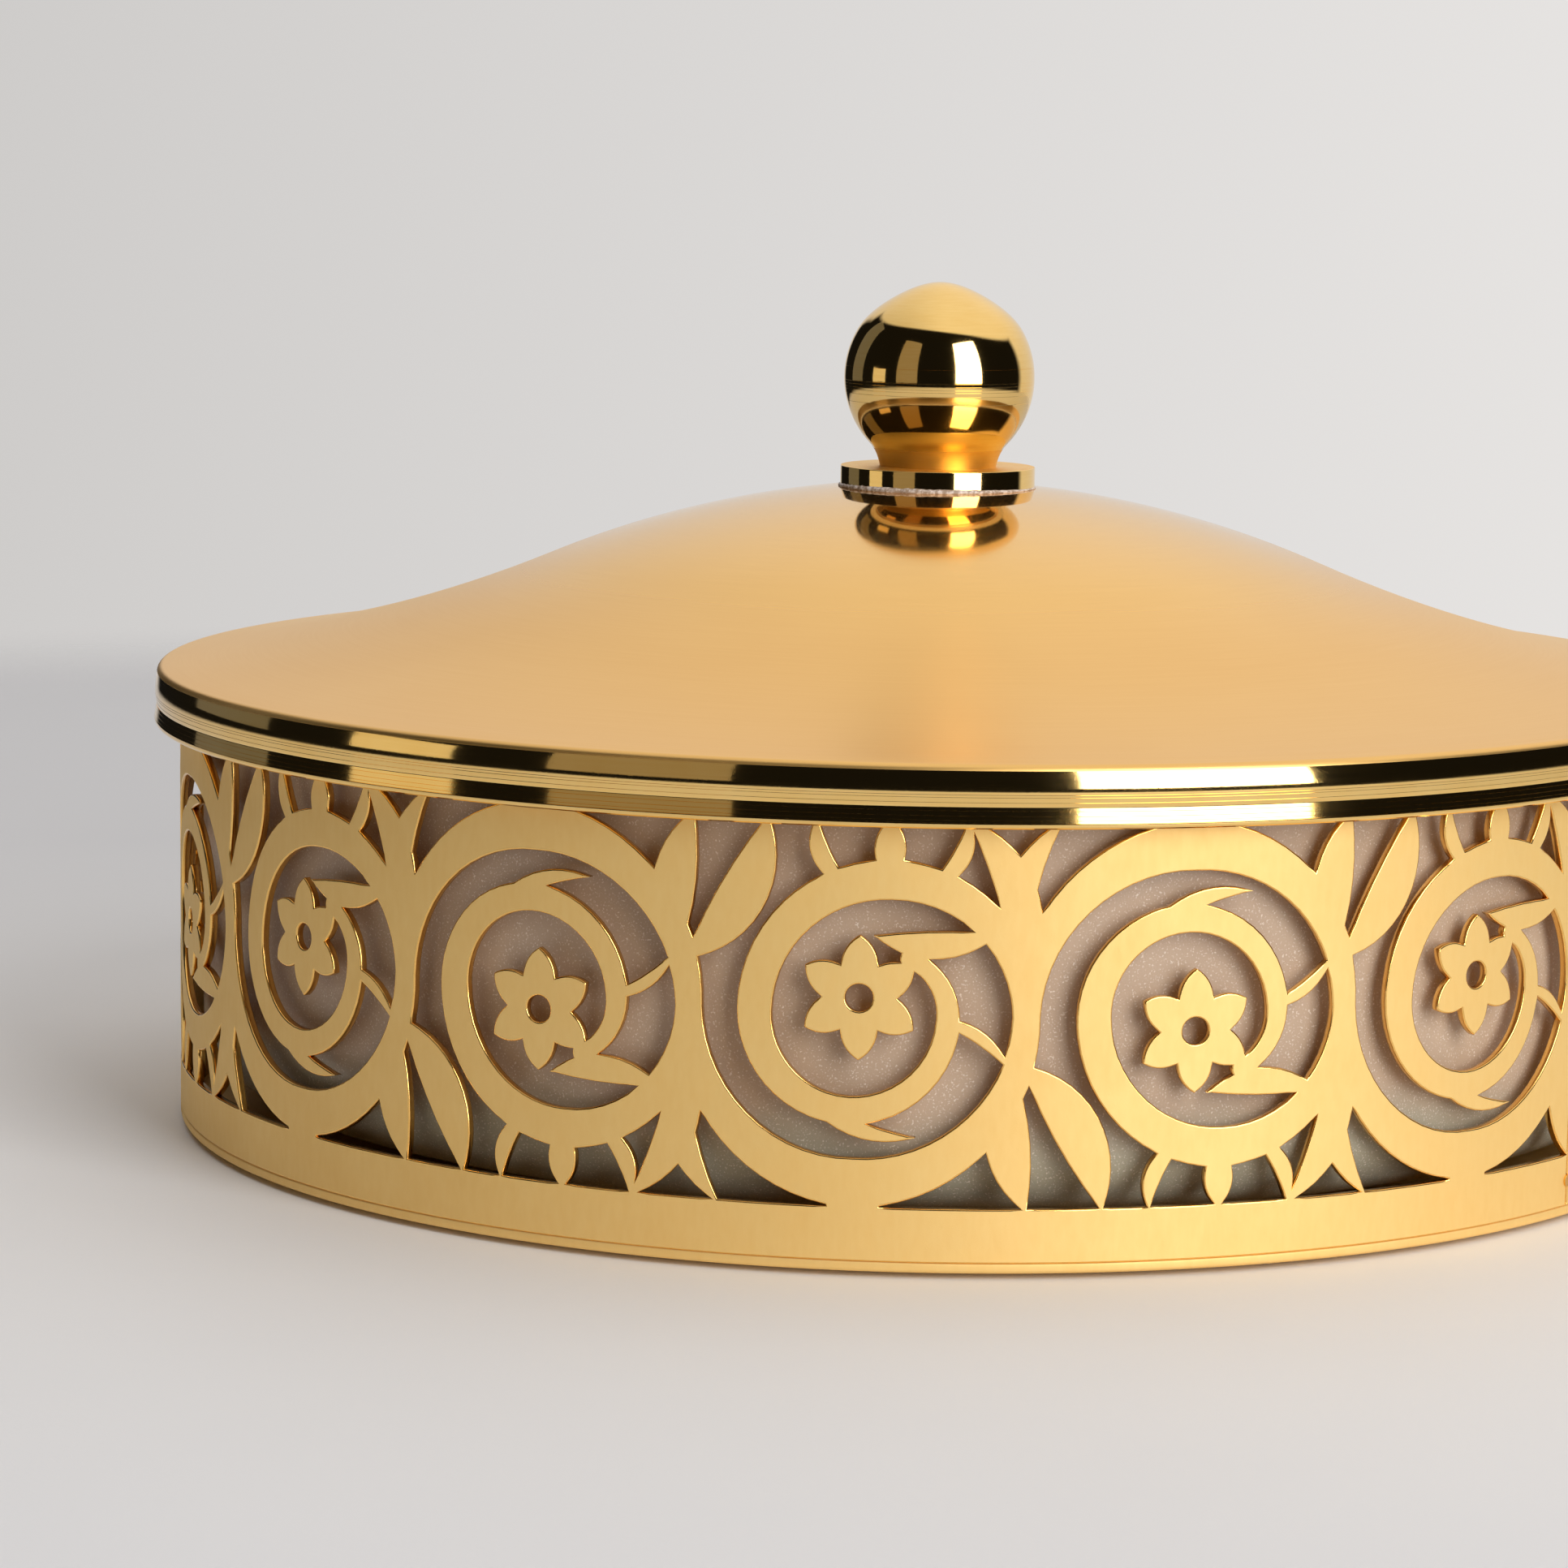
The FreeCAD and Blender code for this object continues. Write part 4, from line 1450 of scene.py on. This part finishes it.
@dataclass(frozen=True)
class Panel:
    """An upright light panel that faces the bowl."""

    name: str
    azimuth: float
    low: float
    high: float
    width: float
    away: float
    radiance: float
    colour: tuple[float, float, float] = (1, 1, 1)

    def add(self) -> None:
        """Add the panel, out of the camera's sight."""
        light = bpy.data.lights.new(self.name, "AREA")
        light.shape = "RECTANGLE"
        light.size = self.width
        light.size_y = self.high - self.low
        light.energy = self.radiance * math.pi * light.size * light.size_y
        light.color = self.colour
        lamp = put(self.name, light)
        angle = math.radians(self.azimuth)
        middle = (self.low + self.high) / 2
        lamp.location = (self.away * math.sin(angle), -self.away * math.cos(angle), middle)
        lamp.rotation_euler = (math.pi / 2, 0, angle)
        lamp.visible_camera = False


PANELS = (
    Panel("window", 36, 0.0, 1.75, 1.0, 1.7, 6.0),
    Panel("door", -40, 0.0, 1.7, 0.8, 1.7, 0.28, (1, 0.86, 0.66)),
    Panel("left_wall", -118, 0.0, 1.6, 0.7, 1.7, 0.14),
    Panel("reflector", -78, 0.0, 0.38, 0.56, 1.7, 0.72, (1, 0.92, 0.75)),
)


@dataclass
class Studio:
    """Floor, light panels, surroundings and the camera."""

    floor_radius: float = 0.75
    floor_full: float = 0.58
    floor_sides: int = 128
    # Floor colour near the bowl, then the darker colour of painted shade farther away
    floor_near: Colour = (0.90, 0.89, 0.89, 1)
    floor_far_shaded: Colour = (0.78, 0.775, 0.79, 1)
    shade_start_radius: float = 0.15
    shade_full_radius: float = 0.32
    mottle_scale: float = 9
    mottle: float = 0.08
    paper_scale: float = 900
    paper_depth: float = 0.00003
    paper_roughness: float = 0.6
    paper_gloss: float = 0.12
    backdrop_start: float = -0.19
    backdrop_end: float = 0.13
    backdrop_left: float = 0.62
    backdrop_right: float = 0.79
    backdrop_colour: Colour = (1.0, 0.975, 0.955, 1)
    behind_start: float = 0.62
    behind_full: float = 0.76
    right_reach: float = 0.3
    left_cut: float = 0.5
    cut_low: float = 0.18
    cut_high: float = 0.42
    overhead_tilt: tuple[float, float, float] = (0.22, 0.47, 1.31)
    above_start: float = 0.90
    above_full: float = 0.98
    rise_top: float = 0.7
    rise_low_level: float = 0.74
    rise_high_level: float = 0.95
    side_left: float = -0.7
    side_right: float = 0.15
    left_level: float = 0.70
    room_dark: float = 0.008
    focal_pixels: float = 6030
    sensor: float = 36.0
    distance: float = 0.75429
    height: float = 0.15256
    yaw: float = -0.0305
    pitch: float = 0.1342
    roll: float = 0.0141
    clip_start: float = 0.01

    def add_floor(self) -> None:
        """Pale floor with painted shade that darkens it away from the bowl, fading out far from the bowl."""
        deselect()
        bpy.ops.mesh.primitive_circle_add(
            vertices=self.floor_sides, radius=self.floor_radius, fill_type="NGON")
        floor = bpy.context.object
        floor.name = "floor"
        recipe = Recipe("floor_paper")
        # Painted shade: the floor's colour darkens with distance from the bowl
        away = recipe.stretch(recipe.radius(), self.shade_start_radius, self.shade_full_radius, 0, 1)
        mottling = recipe.spread(recipe.specks(self.mottle_scale, 4.0), -self.mottle, self.mottle)
        colour = recipe.mix(recipe.sum("ADD", away, mottling), self.floor_near, self.floor_far_shaded)
        normal = recipe.raise_by(recipe.specks(self.paper_scale, 4.0), self.paper_depth)
        fade = recipe.stretch(recipe.radius(), self.floor_full, self.floor_radius, 1, 0, "SMOOTHSTEP")
        paper = recipe.finish(
            colour, self.paper_roughness, normal, Specular_IOR_Level=self.paper_gloss, Alpha=fade)
        dress(floor, paper)

    def add_surroundings(self) -> None:
        """World light: pale behind and above, a dark room in front."""
        world = bpy.data.worlds.new("studio")
        bpy.context.scene.world = world
        world.use_nodes = True
        world.node_tree.nodes.clear()
        bench = Bench(world.node_tree)
        way = bench.add("ShaderNodeTexCoord").outputs["Generated"]
        heading = bench.split(bench.aim("NORMALIZE", bench.level(way)).outputs[0])
        turned = bench.sum("ADD", heading["Y"], bench.sum("MULTIPLY", heading["X"], self.right_reach))
        axes = bench.split(way)
        low = bench.stretch(axes["Z"], self.cut_low, self.cut_high, self.left_cut, 0)
        left = bench.sum("MULTIPLY", bench.sum("MINIMUM", heading["X"], 0.0), low)
        turned = bench.sum("ADD", turned, left)
        behind = bench.stretch(turned, self.behind_start, self.behind_full, 0, 1, "SMOOTHSTEP")
        tilt = bench.aim("DOT_PRODUCT", way, self.overhead_tilt).outputs["Value"]
        above = bench.stretch(tilt, self.above_start, self.above_full, 0, 1, "SMOOTHSTEP")
        pale = bench.sum("MAXIMUM", behind, above)
        rise = bench.stretch(
            axes["Z"], 0.0, self.rise_top, self.rise_low_level, self.rise_high_level, "SMOOTHSTEP")
        side = bench.stretch(axes["X"], self.side_left, self.side_right, self.left_level, 1.0, "SMOOTHSTEP")
        bright = bench.sum("MULTIPLY", bench.sum("MULTIPLY", pale, rise), side)
        dark = bench.sum("MULTIPLY", bench.sum("SUBTRACT", 1.0, pale), self.room_dark)
        around = bench.sum("ADD", bright, dark)
        seen = bench.add("ShaderNodeLightPath").outputs["Is Camera Ray"]
        backdrop = bench.stretch(
            axes["X"], self.backdrop_start, self.backdrop_end, self.backdrop_left, self.backdrop_right)
        level = bench.add("ShaderNodeMix")
        bench.feed(level.inputs[0], seen)
        bench.feed(level.inputs[2], around)
        bench.feed(level.inputs[3], backdrop)
        background = bench.add("ShaderNodeBackground", Color=self.backdrop_colour, Strength=level.outputs[0])
        bench.add("ShaderNodeOutputWorld", Surface=background.outputs[0])

    def add_camera(self) -> None:
        """Camera at the photograph's place and angle."""
        data = bpy.data.cameras.new("camera")
        data.sensor_width = self.sensor
        data.lens = self.focal_pixels / PHOTO_WIDTH * self.sensor
        data.clip_start = self.clip_start
        camera = put("camera", data)
        ahead = Vector((
            math.sin(self.yaw) * math.cos(self.pitch),
            math.cos(self.yaw) * math.cos(self.pitch),
            -math.sin(self.pitch),
        ))
        level = Vector((math.cos(self.yaw), -math.sin(self.yaw), 0))
        upright = level.cross(ahead)
        right = math.cos(self.roll) * level + math.sin(self.roll) * upright
        up = math.cos(self.roll) * upright - math.sin(self.roll) * level
        turned = Matrix((right, up, -ahead)).transposed()
        camera.matrix_world = Matrix.Translation((0, -self.distance, self.height)) @ turned.to_4x4()
        bpy.context.scene.camera = camera

    def add(self) -> None:
        """Set up the floor, the lights, the surroundings and the camera."""
        self.add_floor()
        self.add_surroundings()
        for panel in PANELS:
            panel.add()
        bpy.context.scene.view_settings.view_transform = "Standard"
        self.add_camera()


def main() -> None:
    """Build, dress and fit every piece, then set up the studio."""
    logging.basicConfig(level=logging.INFO, format="%(name)s: %(message)s")
    polished = POLISHED.material()
    satin = SATIN.material()
    rolled = ROLLED.material()
    lid = Lid()
    BasePlate().add(rolled, PressedFelt().material())
    PiercedBand().add(rolled, CUT.material())
    RimCollar().add(polished)
    Liner().add(FrostedLiner().material())
    lid.add(satin, polished, rolled)
    Knob(lid).add(polished, TURNED.material(), ScrewSteel().material(), GlueBead().material())
    dress(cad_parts["band_seam_tacks"], SOLDERED.material())
    Studio().add()


if __name__ == "__main__":
    main()
